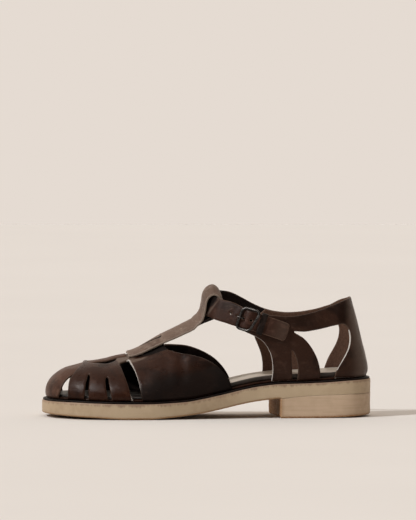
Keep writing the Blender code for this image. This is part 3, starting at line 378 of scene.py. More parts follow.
# ---------------------------------------------------------------- the heel part's wall
def wall_points(around, height):
    """The wall of quarters and counter. around is the length round the heel from its back."""
    around, height = np.asarray(around, float), np.asarray(height, float)
    sign = np.where(around >= 0, 1.0, -1.0)
    reach = np.abs(around)
    station = HEEL_ROUND + reach - HEEL_QUARTER
    rise = height - foot_height(station)
    share = eased(station, HEEL_ROUND, QUARTER_STATION)
    spread = WALL("heel_spread", rise) * (1 - share) + WALL("quarter_spread", rise) * share
    spread = spread - TUCK * np.maximum(0.0, station - TUCK_STATION) ** 2
    beside = np.stack([station, edge(station, sign, UPPER_INSET) + sign * spread, height], axis=-1)
    angle = np.minimum(reach / HEEL_QUARTER, 1.0) * math.pi / 2
    rise = height - foot_height(HEEL_ROUND / 2)
    back = HEEL_ROUND - WALL("back", rise)
    half = SOLE("half", HEEL_ROUND) - UPPER_INSET + WALL("heel_spread", rise)
    behind = np.stack([
        HEEL_ROUND - back * np.cos(angle) ** (2 / HEEL_POWER),
        sign * half * np.sin(angle) ** (2 / HEEL_POWER),
        height,
    ], axis=-1)
    return np.where((reach >= HEEL_QUARTER)[..., None], beside, behind)


def round_heel(station, height, sign):
    """The heel part's flat coordinate of a station at a height on one side."""
    if station >= HEEL_ROUND:
        return (sign * (HEEL_QUARTER + station - HEEL_ROUND), height)
    back = HEEL_ROUND - float(WALL("back", height - foot_height(HEEL_ROUND / 2)))
    share = min(1.0, (HEEL_ROUND - station) / back)
    return (sign * HEEL_QUARTER * math.acos(share ** (HEEL_POWER / 2)) / (math.pi / 2), height)


# ---------------------------------------------------------------- flat patterns
def curve_through(points, step):
    """A smooth curve through given points, with a point about every step, ends kept."""
    out = []
    for i in range(len(points) - 1):
        before = points[max(i - 1, 0)]
        start, end = points[i], points[i + 1]
        after = points[min(i + 2, len(points) - 1)]
        count = max(1, round(math.dist(start, end) / step))
        for k in range(count):
            t = k / count
            out.append(tuple(
                0.5 * (2 * b + (c - a) * t + (2 * a - 5 * b + 4 * c - d) * t * t
                       + (3 * b - a - 3 * c + d) * t**3)
                for a, b, c, d in zip(before, start, end, after)
            ))
    return out + [tuple(points[-1])]


def joined(*runs):
    """Curves end to end as one loop, without the points they share and with points along straight runs."""
    loop = []
    for run in runs:
        for point in run:
            if not loop or math.dist(point, loop[-1]) > 0.2:
                loop.append(tuple(float(v) for v in point))
    while math.dist(loop[0], loop[-1]) < 0.2:
        loop.pop()
    filled = []
    for start, end in zip(loop, loop[1:] + loop[:1]):
        count = math.ceil(math.dist(start, end) / LONGEST_EDGE)
        filled += [tuple(a + (b - a) * k / count for a, b in zip(start, end)) for k in range(count)]
    return filled


def segments_of(loops):
    """Both ends of every straight run of the loops."""
    starts = np.concatenate([np.array(loop) for loop in loops])
    ends = np.concatenate([np.roll(np.array(loop), -1, axis=0) for loop in loops])
    return starts, ends


def inside(points, loops):
    """Which points lie in the pattern: inside an odd number of its loops."""
    starts, ends = segments_of(loops)
    odd = np.zeros(len(points), bool)
    for (x1, y1), (x2, y2) in zip(starts, ends):
        if y1 == y2:
            continue
        spans = (y1 > points[:, 1]) != (y2 > points[:, 1])
        at = x1 + (points[:, 1] - y1) / (y2 - y1) * (x2 - x1)
        odd ^= spans & (points[:, 0] < at)
    return odd


def edge_distance(points, loops, chunk=4000):
    """Distance of each point of the pattern from the nearest cut edge."""
    starts, ends = segments_of(loops)
    run = ends - starts
    long = (run**2).sum(axis=1)
    found = []
    for first in range(0, len(points), chunk):
        offset = points[first : first + chunk, None, :] - starts[None]
        t = np.clip((offset * run).sum(axis=2) / long, 0, 1)
        found.append(np.sqrt(((offset - t[..., None] * run) ** 2).sum(axis=2).min(axis=1)))
    return np.concatenate(found)


def cut_pattern(loops, step, shoulder):
    """Triangles of a flat pattern: an outer loop and holes, with a row of points shoulder inside them."""
    outer = np.array(loops[0])
    low, high = outer.min(axis=0), outer.max(axis=0)
    row_step = step * math.sqrt(3) / 2
    rows = np.arange(int((high[1] - low[1]) / row_step) + 1)
    columns = np.arange(int((high[0] - low[0]) / step) + 1)
    grid = np.stack(np.meshgrid(columns, rows), axis=-1).reshape(-1, 2).astype(float)
    grid[:, 0] = low[0] + (grid[:, 0] + grid[:, 1] % 2 / 2) * step
    grid[:, 1] = low[1] + grid[:, 1] * row_step
    grid = grid[inside(grid, loops)]
    grid = grid[edge_distance(grid, loops) > shoulder + 0.45 * step]
    beside = []
    for loop in loops:
        loop = np.array(loop)
        run = unit(np.roll(loop, -1, axis=0) - np.roll(loop, 1, axis=0))
        across = np.stack([-run[:, 1], run[:, 0]], axis=1) * shoulder
        beside += [loop + across, loop - across]
    beside = np.concatenate(beside)
    beside = beside[inside(beside, loops)]
    beside = beside[edge_distance(beside, loops) > 0.8 * shoulder]
    points, edges = [], []
    for loop in loops:
        first, count = len(points), len(loop)
        points += [Vector(p) for p in loop]
        edges += [(first + i, first + (i + 1) % count) for i in range(count)]
    points += [Vector(p) for p in beside] + [Vector(p) for p in grid]
    found = delaunay_2d_cdt(points, edges, [], 0, 1e-4)
    flat = np.array([tuple(p) for p in found[0]])
    triangles = np.array([tuple(t) for t in found[2]])
    centres = flat[triangles].mean(axis=1)
    return flat, triangles[inside(centres, loops)]


def surface_normals(surface, a, b, step=0.5):
    """Outward normals of a bent pattern."""
    along = surface(a + step, b) - surface(a - step, b)
    across = surface(a, b + step) - surface(a, b - step)
    return unit(np.cross(along, across))


def mesh_object(name, points, faces, **attributes):
    """A smooth mesh object from points in mm on the last, with named values on its points."""
    mesh = bpy.data.meshes.new(name)
    mesh.from_pydata([tuple(p) for p in place(points)], [], [tuple(int(i) for i in f) for f in faces])
    mesh.polygons.foreach_set("use_smooth", [True] * len(mesh.polygons))
    for key, values in attributes.items():
        mesh.attributes.new(key, "FLOAT", "POINT").data.foreach_set("value", np.asarray(values, np.float32))
    work = bmesh.new()
    work.from_mesh(mesh)
    bmesh.ops.recalc_face_normals(work, faces=work.faces)
    if work.calc_volume(signed=True) < 0:
        bmesh.ops.reverse_faces(work, faces=work.faces)
    work.to_mesh(mesh)
    work.free()
    return add_object(name, mesh)


def nowhere(a, b):
    """0 at every point of a pattern."""
    return np.zeros(len(a))


def leather_sheet(
    name, loops, surface, out, lift=nowhere, thick=LEATHER, step=1.5, round_off=0.55,
    pale_lip=nowhere, tone=nowhere,
):
    """Leather cut to a flat pattern and bent over a surface, with softened cut edges.
    Its points carry how far they are from the cut edge (mm), whether they are on the flesh side, how
    wide the undyed lip is there (mm), which also serves as painted highlight, and their tone:
    1 pale from wear and painted sheen, -1 dark from painted shade and darker patches."""
    flat, triangles = cut_pattern(loops, step, EDGE_ROW)
    a, b = flat[:, 0], flat[:, 1]
    base = surface(a, b)
    normal = surface_normals(surface, a, b) * out
    distance = edge_distance(flat, loops)
    fall = round_off * (1 - np.sqrt(np.clip(1 - (1 - np.clip(distance / EDGE_ROUND, 0, 1)) ** 2, 0, 1)))
    rise = lift(a, b)
    outer = base + normal * (rise - fall)[:, None]
    inner = base + normal * (rise - thick + 0.6 * fall)[:, None]
    count = len(flat)
    ends = np.concatenate([triangles[:, [0, 1]], triangles[:, [1, 2]], triangles[:, [2, 0]]])
    key = np.sort(ends, axis=1)
    _, index, uses = np.unique(key, axis=0, return_index=True, return_counts=True)
    rim = ends[index[uses == 1]]
    faces = [tuple(t) for t in triangles] + [tuple(t + count) for t in triangles[:, ::-1]]
    faces += [(q, p, p + count, q + count) for p, q in rim]
    return mesh_object(
        name, np.concatenate([outer, inner]), faces,
        cut=np.tile(distance, 2), flesh=np.repeat([0.0, 1.0], count),
        lip=np.tile(pale_lip(a, b), 2), tone=np.tile(tone(a, b), 2),
    )


def ladder(count, levels, closed=False):
    """Quads between rings of count points each; closed joins the last ring to the first."""
    faces = []
    for level in range(levels if closed else levels - 1):
        low, high = level * count, (level + 1) % levels * count
        faces += [(low + i, low + (i + 1) % count, high + (i + 1) % count, high + i) for i in range(count)]
    return faces


def tube_through(name, points, radius, sides, closed=False):
    """A round wire through points in mm."""
    points = np.asarray(points, float)
    count = len(points)
    if closed:
        tangent = np.roll(points, -1, axis=0) - np.roll(points, 1, axis=0)
    else:
        tangent = np.gradient(points, axis=0)
    tangent = unit(tangent)
    first = unit(np.cross(tangent, (0.3, -0.9, 0.3)))
    second = np.cross(tangent, first)
    turn = np.linspace(0, 2 * math.pi, sides, endpoint=False)
    rings = points[:, None] + radius * (
        np.cos(turn)[None, :, None] * first[:, None] + np.sin(turn)[None, :, None] * second[:, None]
    )
    faces = ladder(sides, count, closed)
    if not closed:
        faces.append(tuple(range(sides)))
        faces.append(tuple((count - 1) * sides + k for k in range(sides)))
    return mesh_object(name, rings.reshape(-1, 3), faces)


# ---------------------------------------------------------------- cuts of the upper
# (station, height) down each side, lateral values; near the ridge (station, across). None is the foot.
CAGE_FRONT_TOP = ((259.0, 0), (260.2, 10))
CAGE_FRONT_SIDE = ((265.2, 44.8), (269.9, 40.0), (272.8, 36.2), (274.7, 32.0), (275.6, 27.5), (276.2, 21.0))
SLIT_1 = (
    (262.2, None), (262.4, 22.0), (262.0, 26.3), (260.8, 32.8), (258.8, 37.8), (257.4, 39.6),
    (256.4, 38.6), (257.6, 33.0), (258.6, 27.0), (258.7, 22.0), (258.4, None),
)
SLIT_2 = (
    (241.4, None), (242.9, 24.5), (243.5, 31.0), (243.3, 35.6), (241.9, 37.9),
    (240.5, 36.8), (240.3, 31.0), (239.5, 24.5), (238.0, None),
)
WING_GAP_LATERAL = (
    (219.4, None), (221.6, 22.5), (223.8, 31.0), (226.4, 40.5), (228.2, 46.8), (228.5, 48.4), (226.8, 49.4),
    (222.0, 50.9), (220.0, 51.4), (218.9, 49.4), (215.4, 40.0), (213.3, 30.5), (212.4, 23.0), (210.8, None),
)
WING_GAP_MEDIAL = (
    (222.6, None), (224.6, 22.5), (226.8, 30.0), (228.6, 37.0), (229.4, 42.0), (228.6, 44.0), (225.4, 45.2),
    (223.4, 45.0), (221.6, 42.4), (219.2, 35.0), (217.2, 28.0), (215.6, 22.5), (214.6, None),
)
WING_REAR_LATERAL = (
    (128.8, None), (130.4, 31.4), (132.6, 36.4), (138.6, 43.2), (146.2, 49.6),
    (155.2, 54.2), (166.4, 57.0), (177.6, 59.0), (185.0, 61.2),
)
WING_REAR_MEDIAL = (
    (121.6, None), (123.6, 31.0), (126.6, 37.2), (131.0, 43.6), (137.4, 50.2),
    (145.0, 55.2), (153.0, 59.0), (161.5, 62.0), (170.0, 63.8), (178.0, 64.8), (184.0, 65.2),
)
# How much further back the inner side's front edge and its two slits lie.
MEDIAL_SHIFTS = (8.0, 5.0, 0.0)
WING_REAR_TOP = ((188.6, 19.5), (188.4, 10.0))
SPINE_REAR = 187.0
OPENING_LATERAL = (
    (255.4, 0), (256.2, 6.0), (255.6, 11.5), (252.0, 15.6), (246.0, 18.8), (240.0, 20.4), (234.6, 18.8),
    (231.0, 14.0), (229.4, 7.0), (229.0, 0),
)
OPENING_MEDIAL = (
    (255.4, 0), (254.6, 7.6), (252.6, 13.6), (246.0, 14.8), (238.0, 14.3), (231.6, 11.6), (229.4, 5.4),
    (229.0, 0),
)
# The toe strap's edges: along, and across on its own side.
TOE_STRAP_LATERAL = (
    (220.4, 9.6), (232, 9.8), (250, 10.8), (258, 16.0), (265, 24.5), (271, 29.8), (276.2, 30.8),
    (281.4, 33.0), (286.4, 35.6), (291.5, 37.4),
)
TOE_STRAP_MEDIAL = ((220.4, 9.6), (232, 10.0), (246, 11.6), (258, 16.4), (268, 24.5))
TOE_STRAP_FOOT = (283.4, 273.0)
TOPLINE_LATERAL = (
    (17.4, 107.4), (23.0, 106.0), (33.0, 102.4), (46.0, 97.4), (59.0, 93.7), (70.0, 91.6),
    (80.0, 91.0), (94.0, 92.2), (104.0, 93.0), (114.0, 93.4),
)
TAB_END = ((114.0, 93.4), (117.6, 86.0), (117.0, 77.0))
QUARTER_FRONT_LATERAL = (
    (117.0, 77.0), (110.6, 74.2), (105.6, 71.6), (99.8, 66.7), (94.8, 58.0), (93.2, 52.0),
    (92.4, 44.0), (92.6, 38.0), (93.2, None),
)
TOPLINE_MEDIAL = (
    (17.4, 107.4), (24.0, 103.8), (34.5, 98.4), (47.0, 94.7), (61.0, 92.2), (73.0, 91.6),
    (84.0, 92.3), (92.0, 94.5),
)
QUARTER_FRONT_MEDIAL = (
    (92.0, 94.5), (98.6, 88.0), (101.3, 79.0), (101.6, 70.0), (98.8, 63.0), (95.6, 55.0), (94.0, 47.0),
    (94.0, 40.0), (94.6, None),
)
QUARTER_SLIT = (
    (74.2, None), (75.0, 46.0), (75.6, 55.0), (75.3, 60.6), (73.0, 58.4), (70.4, 51.0), (69.3, 43.0),
    (69.8, None),
)
REAR_GAP_FRONT = (
    (49.3, None), (49.4, 42.0), (51.4, 51.0), (54.9, 59.0), (59.4, 66.0), (65.0, 71.9), (73.2, 77.3),
    (63.0, 77.3), (54.6, 78.5), (46.0, 80.2), (37.0, 82.4),
)
REAR_GAP_LATERAL = REAR_GAP_FRONT + (
    (28.4, 84.1), (24.4, 82.0), (22.0, 77.6), (21.2, 71.6), (21.9, 66.0), (24.4, 59.4), (28.6, 52.2),
    (32.2, 46.4), (35.0, 40.6), (36.2, None),
)
REAR_GAP_MEDIAL = REAR_GAP_FRONT + (
    (29.4, 84.0), (25.8, 82.0), (24.0, 77.6), (24.2, 71.6), (25.6, 66.0), (28.6, 59.4), (32.6, 52.2),
    (35.2, 46.4), (37.2, 40.6), (38.0, None),
)


def cage_edge(rows, sign, shift, step=EDGE_STEP):
    """An edge down the side of the last, smooth between its ends."""
    flat = [
        foot(station - shift, sign) if height is None else side(station - shift, height, sign)
        for station, height in rows
    ]
    return curve_through(flat, step)


def heel_foot(station, sign):
    """The heel part's flat point at the foot of its wall."""
    return round_heel(station, float(foot_height(station)) + CUT_RISE, sign)


def heel_edge(rows, sign, step=EDGE_STEP):
    """An edge of the heel part, smooth between its ends."""
    flat = [
        heel_foot(station, sign) if height is None else round_heel(station, height, sign)
        for station, height in rows
    ]
    return curve_through(flat, step)


def foot_run(start, end, sign, at):
    """The foot between two stations, both left out."""
    count = max(2, round(abs(end - start) / 2.5))
    return [at(start + (end - start) * i / count, sign) for i in range(1, count)]


def cage_half(sign, shifts, gap, rear):
    """One side of the cage's outline, from the ridge at the front to the ridge at the back."""
    shift = shifts[0]
    rows = [(a - shift * b / 40, sign * b) for a, b in CAGE_FRONT_TOP]
    rows += [side(s - shift, h, sign) for s, h in CAGE_FRONT_SIDE]
    station = CAGE_FRONT_SIDE[-1][0] + 0.2 - shift
    loop = curve_through(rows + [foot(station, sign)], EDGE_STEP)
    for cut, shift in ((SLIT_1, shifts[1]), (SLIT_2, shifts[2]), (gap, 0.0)):
        loop += foot_run(station, cut[0][0] - shift, sign, foot)
        loop += cage_edge(cut, sign, shift, 1.0)
        station = cut[-1][0] - shift
    loop += foot_run(station, rear[0][0], sign, foot)
    loop += cage_edge(rear, sign, 0.0)
    return loop + [(a, sign * b) for a, b in WING_REAR_TOP]


def cage_loops():
    """The cage's outline, and the opening on its ridge."""
    lateral = cage_half(-1, (0.0, 0.0, 0.0), WING_GAP_LATERAL, WING_REAR_LATERAL)
    medial = cage_half(1, MEDIAL_SHIFTS, WING_GAP_MEDIAL, WING_REAR_MEDIAL)
    outer = joined(lateral, [(SPINE_REAR, 0.0)], medial[:0:-1])
    lateral_rim = curve_through([(a, -b) for a, b in OPENING_LATERAL], EDGE_STEP)
    opening = joined(lateral_rim, curve_through(list(OPENING_MEDIAL), EDGE_STEP)[::-1])
    return [outer, opening]


def toe_strap_loop():
    """The toe strap's outline, from under the T-bar to the toe's foot, where it spreads."""
    lateral = [(a, -b) for a, b in TOE_STRAP_LATERAL] + [foot(TOE_STRAP_FOOT[0], -1)]
    medial = list(TOE_STRAP_MEDIAL) + [foot(TOE_STRAP_FOOT[1], 1)]
    angles = [math.atan2(point[1], point[0] - POLE) for point in (lateral[-1], medial[-1])]
    tip = [toe_foot(angles[0] + (angles[1] - angles[0]) * i / 30) for i in range(1, 30)]
    return joined(curve_through(lateral, EDGE_STEP), tip, curve_through(medial[::-1], EDGE_STEP))


def toe_strap_lift(a, b):
    """It is flush at the toe, dips under the front bridge and rises over the rear one."""
    at_toe = np.where(a > POLE, eased(np.hypot(a - POLE, b), 26, 40), 0.0)
    rear = 1 - eased(a, 226, 248)
    return (TOE_STRAP_RISE * rear - TOE_STRAP_DROP * (1 - rear)) * (1 - at_toe)


def cage_lift(a, b):
    """Fingers crown between their slits; the wings dip where they go in under the T-bar."""
    across = np.abs(b)
    down = eased(across, 16, 30) * (1 - eased(across, 60, 78))
    crown = 0.35 * (ridge_of(a, 269, 9) + ridge_of(a, 251, 9) + ridge_of(a, 232, 9)) * down
    dip = 1.6 * eased(222 - a, 4, 26) * (1 - eased(across, 17, 33))
    folds = 0.28 * ridge_of(a, 182, 7) - 0.25 * ridge_of(a, 174.5, 5.5) + 0.22 * ridge_of(a, 167, 6)
    low = eased(across, 28, 44) * (1 - eased(across, 62, 80))
    return crown - dip + folds * low


def cage_lip_highlight(a, b):
    """The undyed lip on the outer wing's front edge, which narrows towards the foot;
    its width at the top is a painted highlight of the lit cut edge.
    """
    return 1.2 * eased(a, 212.5, 219.0) * (a < 221.3) * (b < -12)


def cage_tone(a, b):
    """Painted sheen around the T-bar's front end, darker low on the wings,
    and painted shadow where they go in under the T-bar.
    """
    across = np.abs(b)
    # painted sheen: paler around the T-bar's front end, like the T-bar's own painted sheen
    painted_bar_sheen = eased(a, 200, 208) * (1 - eased(a - 0.14 * (b + 14), 230.4, 231.4))
    painted_bar_sheen = painted_bar_sheen * (1 - eased(-b, 25, 28)) * (1 - eased(b, 2, 6))
    low = 0.75 * eased(across, 46, 66) * (1 - eased(a, 216, 226))
    back = 0.35 * (1 - eased(a, 128, 150))
    # painted shadow: dark under the T-bar and in a wedge beside its lateral edge
    reach = 19.4 + 6.5 * eased(216 - a, 0, 30)
    painted_bar_shadow = 1.6 * (b < 0) * (1 - eased(across, reach, reach + 2.5)) * (1 - eased(a, 210, 217))
    return np.clip(0.9 * painted_bar_sheen - low - back - painted_bar_shadow, -1, 1)


COUNTER_FOOT = float(foot_height(HEEL_ROUND / 2)) + CUT_RISE


def heel_half(sign, topline, front, gap):
    """One side of the heel part's outline, from the back of its topline to the back of its foot."""
    loop = heel_edge(topline, sign)
    if sign < 0:
        loop += heel_edge(TAB_END, sign)
    loop += heel_edge(front, sign)
    station = front[-1][0]
    for cut in (QUARTER_SLIT, gap):
        loop += foot_run(station, cut[0][0], sign, heel_foot)
        loop += heel_edge(cut, sign, 1.0)
        station = cut[-1][0]
    start = heel_foot(station, sign)[0]
    return loop + [(start * (1 - i / 20), COUNTER_FOOT) for i in range(1, 20)]


def heel_loops():
    """The outline of quarters and counter, cut as one."""
    lateral = heel_half(-1, TOPLINE_LATERAL, QUARTER_FRONT_LATERAL, REAR_GAP_LATERAL)
    medial = heel_half(1, TOPLINE_MEDIAL, QUARTER_FRONT_MEDIAL, REAR_GAP_MEDIAL)
    return [joined(lateral, [(0.0, COUNTER_FOOT)], medial[:0:-1])]


def heel_lift(a, b):
    """The quarters belly out very slightly between the slit and the topline."""
    belly = ridge_of(b, 62, 16) * ridge_of(np.abs(a), 98, 20)
    return -0.3 * belly


def heel_lip_highlight(a, b):
    """A thin undyed lip down the outer quarter's front edge and behind the outer rear opening,
    also a painted highlight of the lit cut edges.
    """
    front = 0.42 * (a < -88) * (b < 74)
    return front + 0.4 * (a < -14) * (a > -46) * (b < 78)


def heel_tone(a, b):
    """The counter is painted paler as painted sheen, and the band under the topline is darker."""
    across = np.abs(a)
    # painted sheen on the counter's rounded back
    counter = 0.55 * (1 - eased(across, 24, 40)) * (1 - 0.4 * eased(b, 90, 104))
    band = 0.5 * ridge_of(across, 78, 26) * eased(b, 78, 84)
    return np.clip(counter - band, -1, 1)


# ---------------------------------------------------------------- T-bar
def tbar_path():
    """The middle of the T-bar's thickness in the ridge's plane, as (station, height)."""
    path = []
    for station in (TBAR_FRONT, 213.5, 208, 202.5, 197, 192.5, 188, 183, 177.5, 172, 167.5, TBAR_LOOP):
        slope = float(LAST("ridge", station - 1) - LAST("ridge", station + 1)) / 2
        lift = (GAP + LEATHER / 2) / math.hypot(1, slope)
        path.append((station + lift * slope, float(LAST("ridge", station)) + lift))
    return np.array(curve_through(path + list(TBAR_LOOP_ROWS), 0.5))


TBAR_PATH = tbar_path()
TBAR_RUN = run_along(TBAR_PATH)
TBAR_LENGTH = float(TBAR_RUN[-1])
TBAR_TOP = float(TBAR_RUN[TBAR_PATH[:, 1].argmax()])  # where it turns back under itself


def tbar_points(u, v):
    """The T-bar's middle surface: u from its front end along it, v across, medial positive."""
    u = np.clip(u, 0, TBAR_LENGTH)
    station = np.interp(u, TBAR_RUN, TBAR_PATH[:, 0])
    height = np.interp(u, TBAR_RUN, TBAR_PATH[:, 1])
    on_last = np.maximum(TBAR_LOOP, station)
    point = last_points(on_last, v)
    drop = last_points(on_last, np.full(len(v), 1e-3))[:, 2] - point[:, 2]
    back = eased(u - TBAR_TOP, 3.0, 20.0)
    fall = np.where(v > 0, 1 - 0.7 * eased(height, 86, 104), 1.0)
    returning = np.where(v > 0, 0.3, 1 - 0.55 * back)
    fall = np.where(u > TBAR_TOP, returning, fall)
    return np.stack([station, point[:, 1], height - drop * fall], axis=-1)


def tbar_u(station):
    """Length along the T-bar where it passes a station on the instep."""
    first = np.nonzero(TBAR_PATH[:, 0] < TBAR_LOOP)[0][0]
    return float(np.interp(-station, -TBAR_PATH[:first, 0], TBAR_RUN[:first]))


SLOT_START, SLOT_END = tbar_u(207.0), tbar_u(190.4)
SLOT_HOLE, SLOT_HOLE_SIDE = 1.5, -7.2


def tbar_loops():
    """The T-bar's outline, a little narrower at its front end, with a slot that ends in a punched hole."""
    end = TBAR_LENGTH
    lateral = [(0, -16.8), (tbar_u(205), -18.4), (tbar_u(188), -19.4), (tbar_u(165), -19.0)]
    lateral += [(end - 2.5, -17.6)]
    medial = [(end - 2.5, 8.0), (tbar_u(165), 8.4), (tbar_u(188), 8.2), (tbar_u(205), 6.4), (0, 4.6)]
    corners = [(end, -15.4), (end, 6.0)]
    outer = joined(curve_through(lateral, EDGE_STEP), corners, curve_through(medial, EDGE_STEP))
    slot = [(SLOT_START, -2.2), (SLOT_START, -1.3), (SLOT_END - 0.8, -6.2)]
    for k in range(8):
        turn = math.radians(140 - 280 * k / 7)
        slot.append((SLOT_END + SLOT_HOLE * math.cos(turn), SLOT_HOLE_SIDE + SLOT_HOLE * math.sin(turn)))
    slot.append((SLOT_END - 0.8, -7.4))
    return [outer, joined(slot)]


def tbar_painted_shade(u, v):
    """Painted shade: dark on the end that is turned back under the loop, and along the slot."""
    middle = -1.8 - 5.2 * np.clip((u - SLOT_START) / (SLOT_END - SLOT_START), 0, 1)
    # painted shade in the slot and its punched hole
    slot = (1 - eased(np.abs(v - middle), 0.8, 1.5)) * (u > SLOT_START) * (u < SLOT_END)
    slot = np.maximum(slot, 1 - eased(np.hypot(u - SLOT_END, v - SLOT_HOLE_SIDE), 1.7, 2.4))
    return -np.maximum(slot, eased(u, TBAR_LENGTH - 34, TBAR_LENGTH - 28))


def tbar_lift(u, v):
    """A crease across it under the loop, and a slight crown."""
    crown = 0.35 * (1 - np.clip(np.abs(v + 5) / 13.5, 0, 1) ** 2)
    crease = tbar_u(163.5) + 3
    folds = -0.35 * ridge_of(u, crease, 2.2) + 0.22 * ridge_of(u, crease + 3.4, 2.6)
    return LEATHER / 2 + crown + folds


# ---------------------------------------------------------------- stitches
def stitch_tree():
    """Geometry Nodes: thread stitches laid along a line of edges, one at every pitch."""
    tree = bpy.data.node_groups.new("stitch_row", "GeometryNodeTree")
    kinds = {"Geometry": "Geometry", "Thread": "Material"}
    for name in ("Geometry", "Pitch", "Length", "Radius", "Thread"):
        tree.interface.new_socket(name, in_out="INPUT", socket_type="NodeSocket" + kinds.get(name, "Float"))
    tree.interface.new_socket("Geometry", in_out="OUTPUT", socket_type="NodeSocketGeometry")
    given, out, turn, size, line, points, bead, shape, laid, real, paint = map(tree.nodes.new, (
        "NodeGroupInput", "NodeGroupOutput", "FunctionNodeAlignRotationToVector", "ShaderNodeCombineXYZ",
        "GeometryNodeMeshToCurve", "GeometryNodeCurveToPoints", "GeometryNodeMeshUVSphere",
        "GeometryNodeTransform", "GeometryNodeInstanceOnPoints", "GeometryNodeRealizeInstances",
        "GeometryNodeSetMaterial",
    ))
    points.mode = "LENGTH"
    turn.axis = "X"
    bead.inputs["Segments"].default_value = 10
    bead.inputs["Rings"].default_value = 8
    for source, giving, target, taking in (
        (given, "Geometry", line, "Mesh"), (line, "Curve", points, "Curve"),
        (given, "Pitch", points, "Length"), (points, "Tangent", turn, "Vector"),
        (given, "Length", size, "X"), (given, "Radius", size, "Y"), (given, "Radius", size, "Z"),
        (bead, "Mesh", shape, "Geometry"), (size, "Vector", shape, "Scale"),
        (points, "Points", laid, "Points"), (shape, "Geometry", laid, "Instance"),
        (turn, "Rotation", laid, "Rotation"), (laid, "Instances", real, "Geometry"),
        (real, "Geometry", paint, "Geometry"), (given, "Thread", paint, "Material"),
        (paint, "Geometry", out, "Geometry"),
    ):
        tree.links.new(source.outputs[giving], target.inputs[taking])
    return tree


def add_stitches(name, rows, thread):
    """One piece of stitches along several rows of points in mm."""
    points = np.concatenate(rows)
    edges, start = [], 0
    for row in rows:
        edges += [(start + i, start + i + 1) for i in range(len(row) - 1)]
        start += len(row)
    mesh = bpy.data.meshes.new(name)
    mesh.from_pydata([tuple(p) for p in place(points)], edges, [])
    guide = add_object(name + "_guide", mesh)
    tree = stitch_tree()
    modifier = guide.modifiers.new("stitches", "NODES")
    modifier.node_group = tree
    given = {item.name: item.identifier for item in tree.interface.items_tree if item.in_out == "INPUT"}
    sizes = {"Pitch": STITCH_PITCH / 1000, "Length": STITCH_LENGTH / 2000, "Radius": THREAD_RADIUS / 1000}
    for key, value in {**sizes, "Thread": thread}.items():
        modifier[given[key]] = value
    bpy.context.view_layer.update()
    graph = bpy.context.evaluated_depsgraph_get()
    done = bpy.data.meshes.new_from_object(guide.evaluated_get(graph))
    done.name = name
    bpy.data.objects.remove(guide)
    for face in done.polygons:
        face.use_smooth = True
    return add_object(name, done)


def tbar_stitch_row(u, low, high):
    """Points across the T-bar's upper face, sunk a little into it."""
    v = np.linspace(low, high, 24)
    along = np.full(len(v), u)
    middle = tbar_points(along, v)
    normal = surface_normals(tbar_points, along, v)
    lift = tbar_lift(along, v)[:, None] - STITCH_SINK
    return middle - normal * lift


STITCH_PITCH, STITCH_LENGTH, THREAD_RADIUS, STITCH_SINK = 2.3, 1.9, 0.36, 0.12
FASTENING = tbar_u(163.5) + 11.5
STITCH_ROWS = [
    tbar_stitch_row(FASTENING, -16.0, 6.0),
    tbar_stitch_row(FASTENING + 2.4, -16.0, 6.0),
    tbar_stitch_row(tbar_u(188.6), -5.5, 3.0),
]


# ---------------------------------------------------------------- ankle strap, buckle and keeper
STRAP_SAMPLES = 901
STRAP_SMOOTHING = 15
STRAP_KEYS = np.linspace(0, STRAP_ROWS[-1][0], STRAP_SAMPLES)
STRAP_LINE = np.stack([STRAP(name, STRAP_KEYS) for name in ("station", "side", "height")], axis=-1)
STRAP_RUN = run_along(STRAP_LINE)
STRAP_LENGTH = float(STRAP_RUN[-1])


def strap_frame():
    """Direction towards the tip, upward edge and outward side along the strap."""
    window = 2 * STRAP_SMOOTHING + 1
    direction = unit(np.gradient(STRAP_LINE, axis=0))
    padded = np.pad(direction, ((STRAP_SMOOTHING, STRAP_SMOOTHING), (0, 0)), mode="edge")
    smooth = [np.convolve(padded[:, i], np.ones(window) / window, "valid") for i in range(3)]
    direction = unit(np.stack(smooth, axis=-1))
    leans = [STRAP(name, STRAP_KEYS) for name in ("lean", "side_lean")]
    up = np.stack(leans + [np.ones(STRAP_SAMPLES)], axis=-1)
    up = unit(up - direction * (up * direction).sum(axis=1)[:, None])
    return direction, up, -np.cross(direction, up)


STRAP_DIRECTION, STRAP_UP, STRAP_OUT = strap_frame()
LATERAL_HALF = STRAP_LINE[:, 1] < 0
BAR_AT = float(STRAP_RUN[LATERAL_HALF & (STRAP_LINE[:, 0] < BUCKLE_STATION)][0])
KEEPER_AT = float(STRAP_RUN[LATERAL_HALF & (STRAP_LINE[:, 0] < KEEPER_STATION)][0])


def along_strap(values, u):
    return np.stack([np.interp(u, STRAP_RUN, values[:, i]) for i in range(3)], axis=-1)


def strap_axes(at):
    """The strap's middle, direction, upward edge and outward side at one length along it."""
    lines = (STRAP_LINE, STRAP_DIRECTION, STRAP_UP, STRAP_OUT)
    return [along_strap(values, np.array([at]))[0] for values in lines]


def strap_half(u):
    """Half the strap's width."""
    return float(np.interp(u, STRAP_RUN, STRAP("width", STRAP_KEYS))) / 2


def strap_row(row):
    """Length along the strap at a row of its table."""
    return float(np.interp(row, STRAP_KEYS, STRAP_RUN))


def strap_bump(u):
    """How far the strap rises over the buckle's bar."""
    share = np.clip(np.abs(u - BAR_AT) / BAR_BUMP_REACH, 0, 1)
    return BAR_BUMP * np.cos(math.pi / 2 * share) ** 2


def strap_points(u, v):
    """The strap's middle surface: u from its medial end, v up across it."""
    u = np.asarray(u, float)
    over = np.maximum(u - STRAP_LENGTH, 0) + np.minimum(u, 0)
    middle = along_strap(STRAP_LINE, u) + along_strap(STRAP_DIRECTION, u) * over[:, None]
    middle = middle + along_strap(STRAP_UP, u) * np.asarray(v)[:, None]
    return middle + along_strap(STRAP_OUT, u) * strap_bump(u)[:, None]


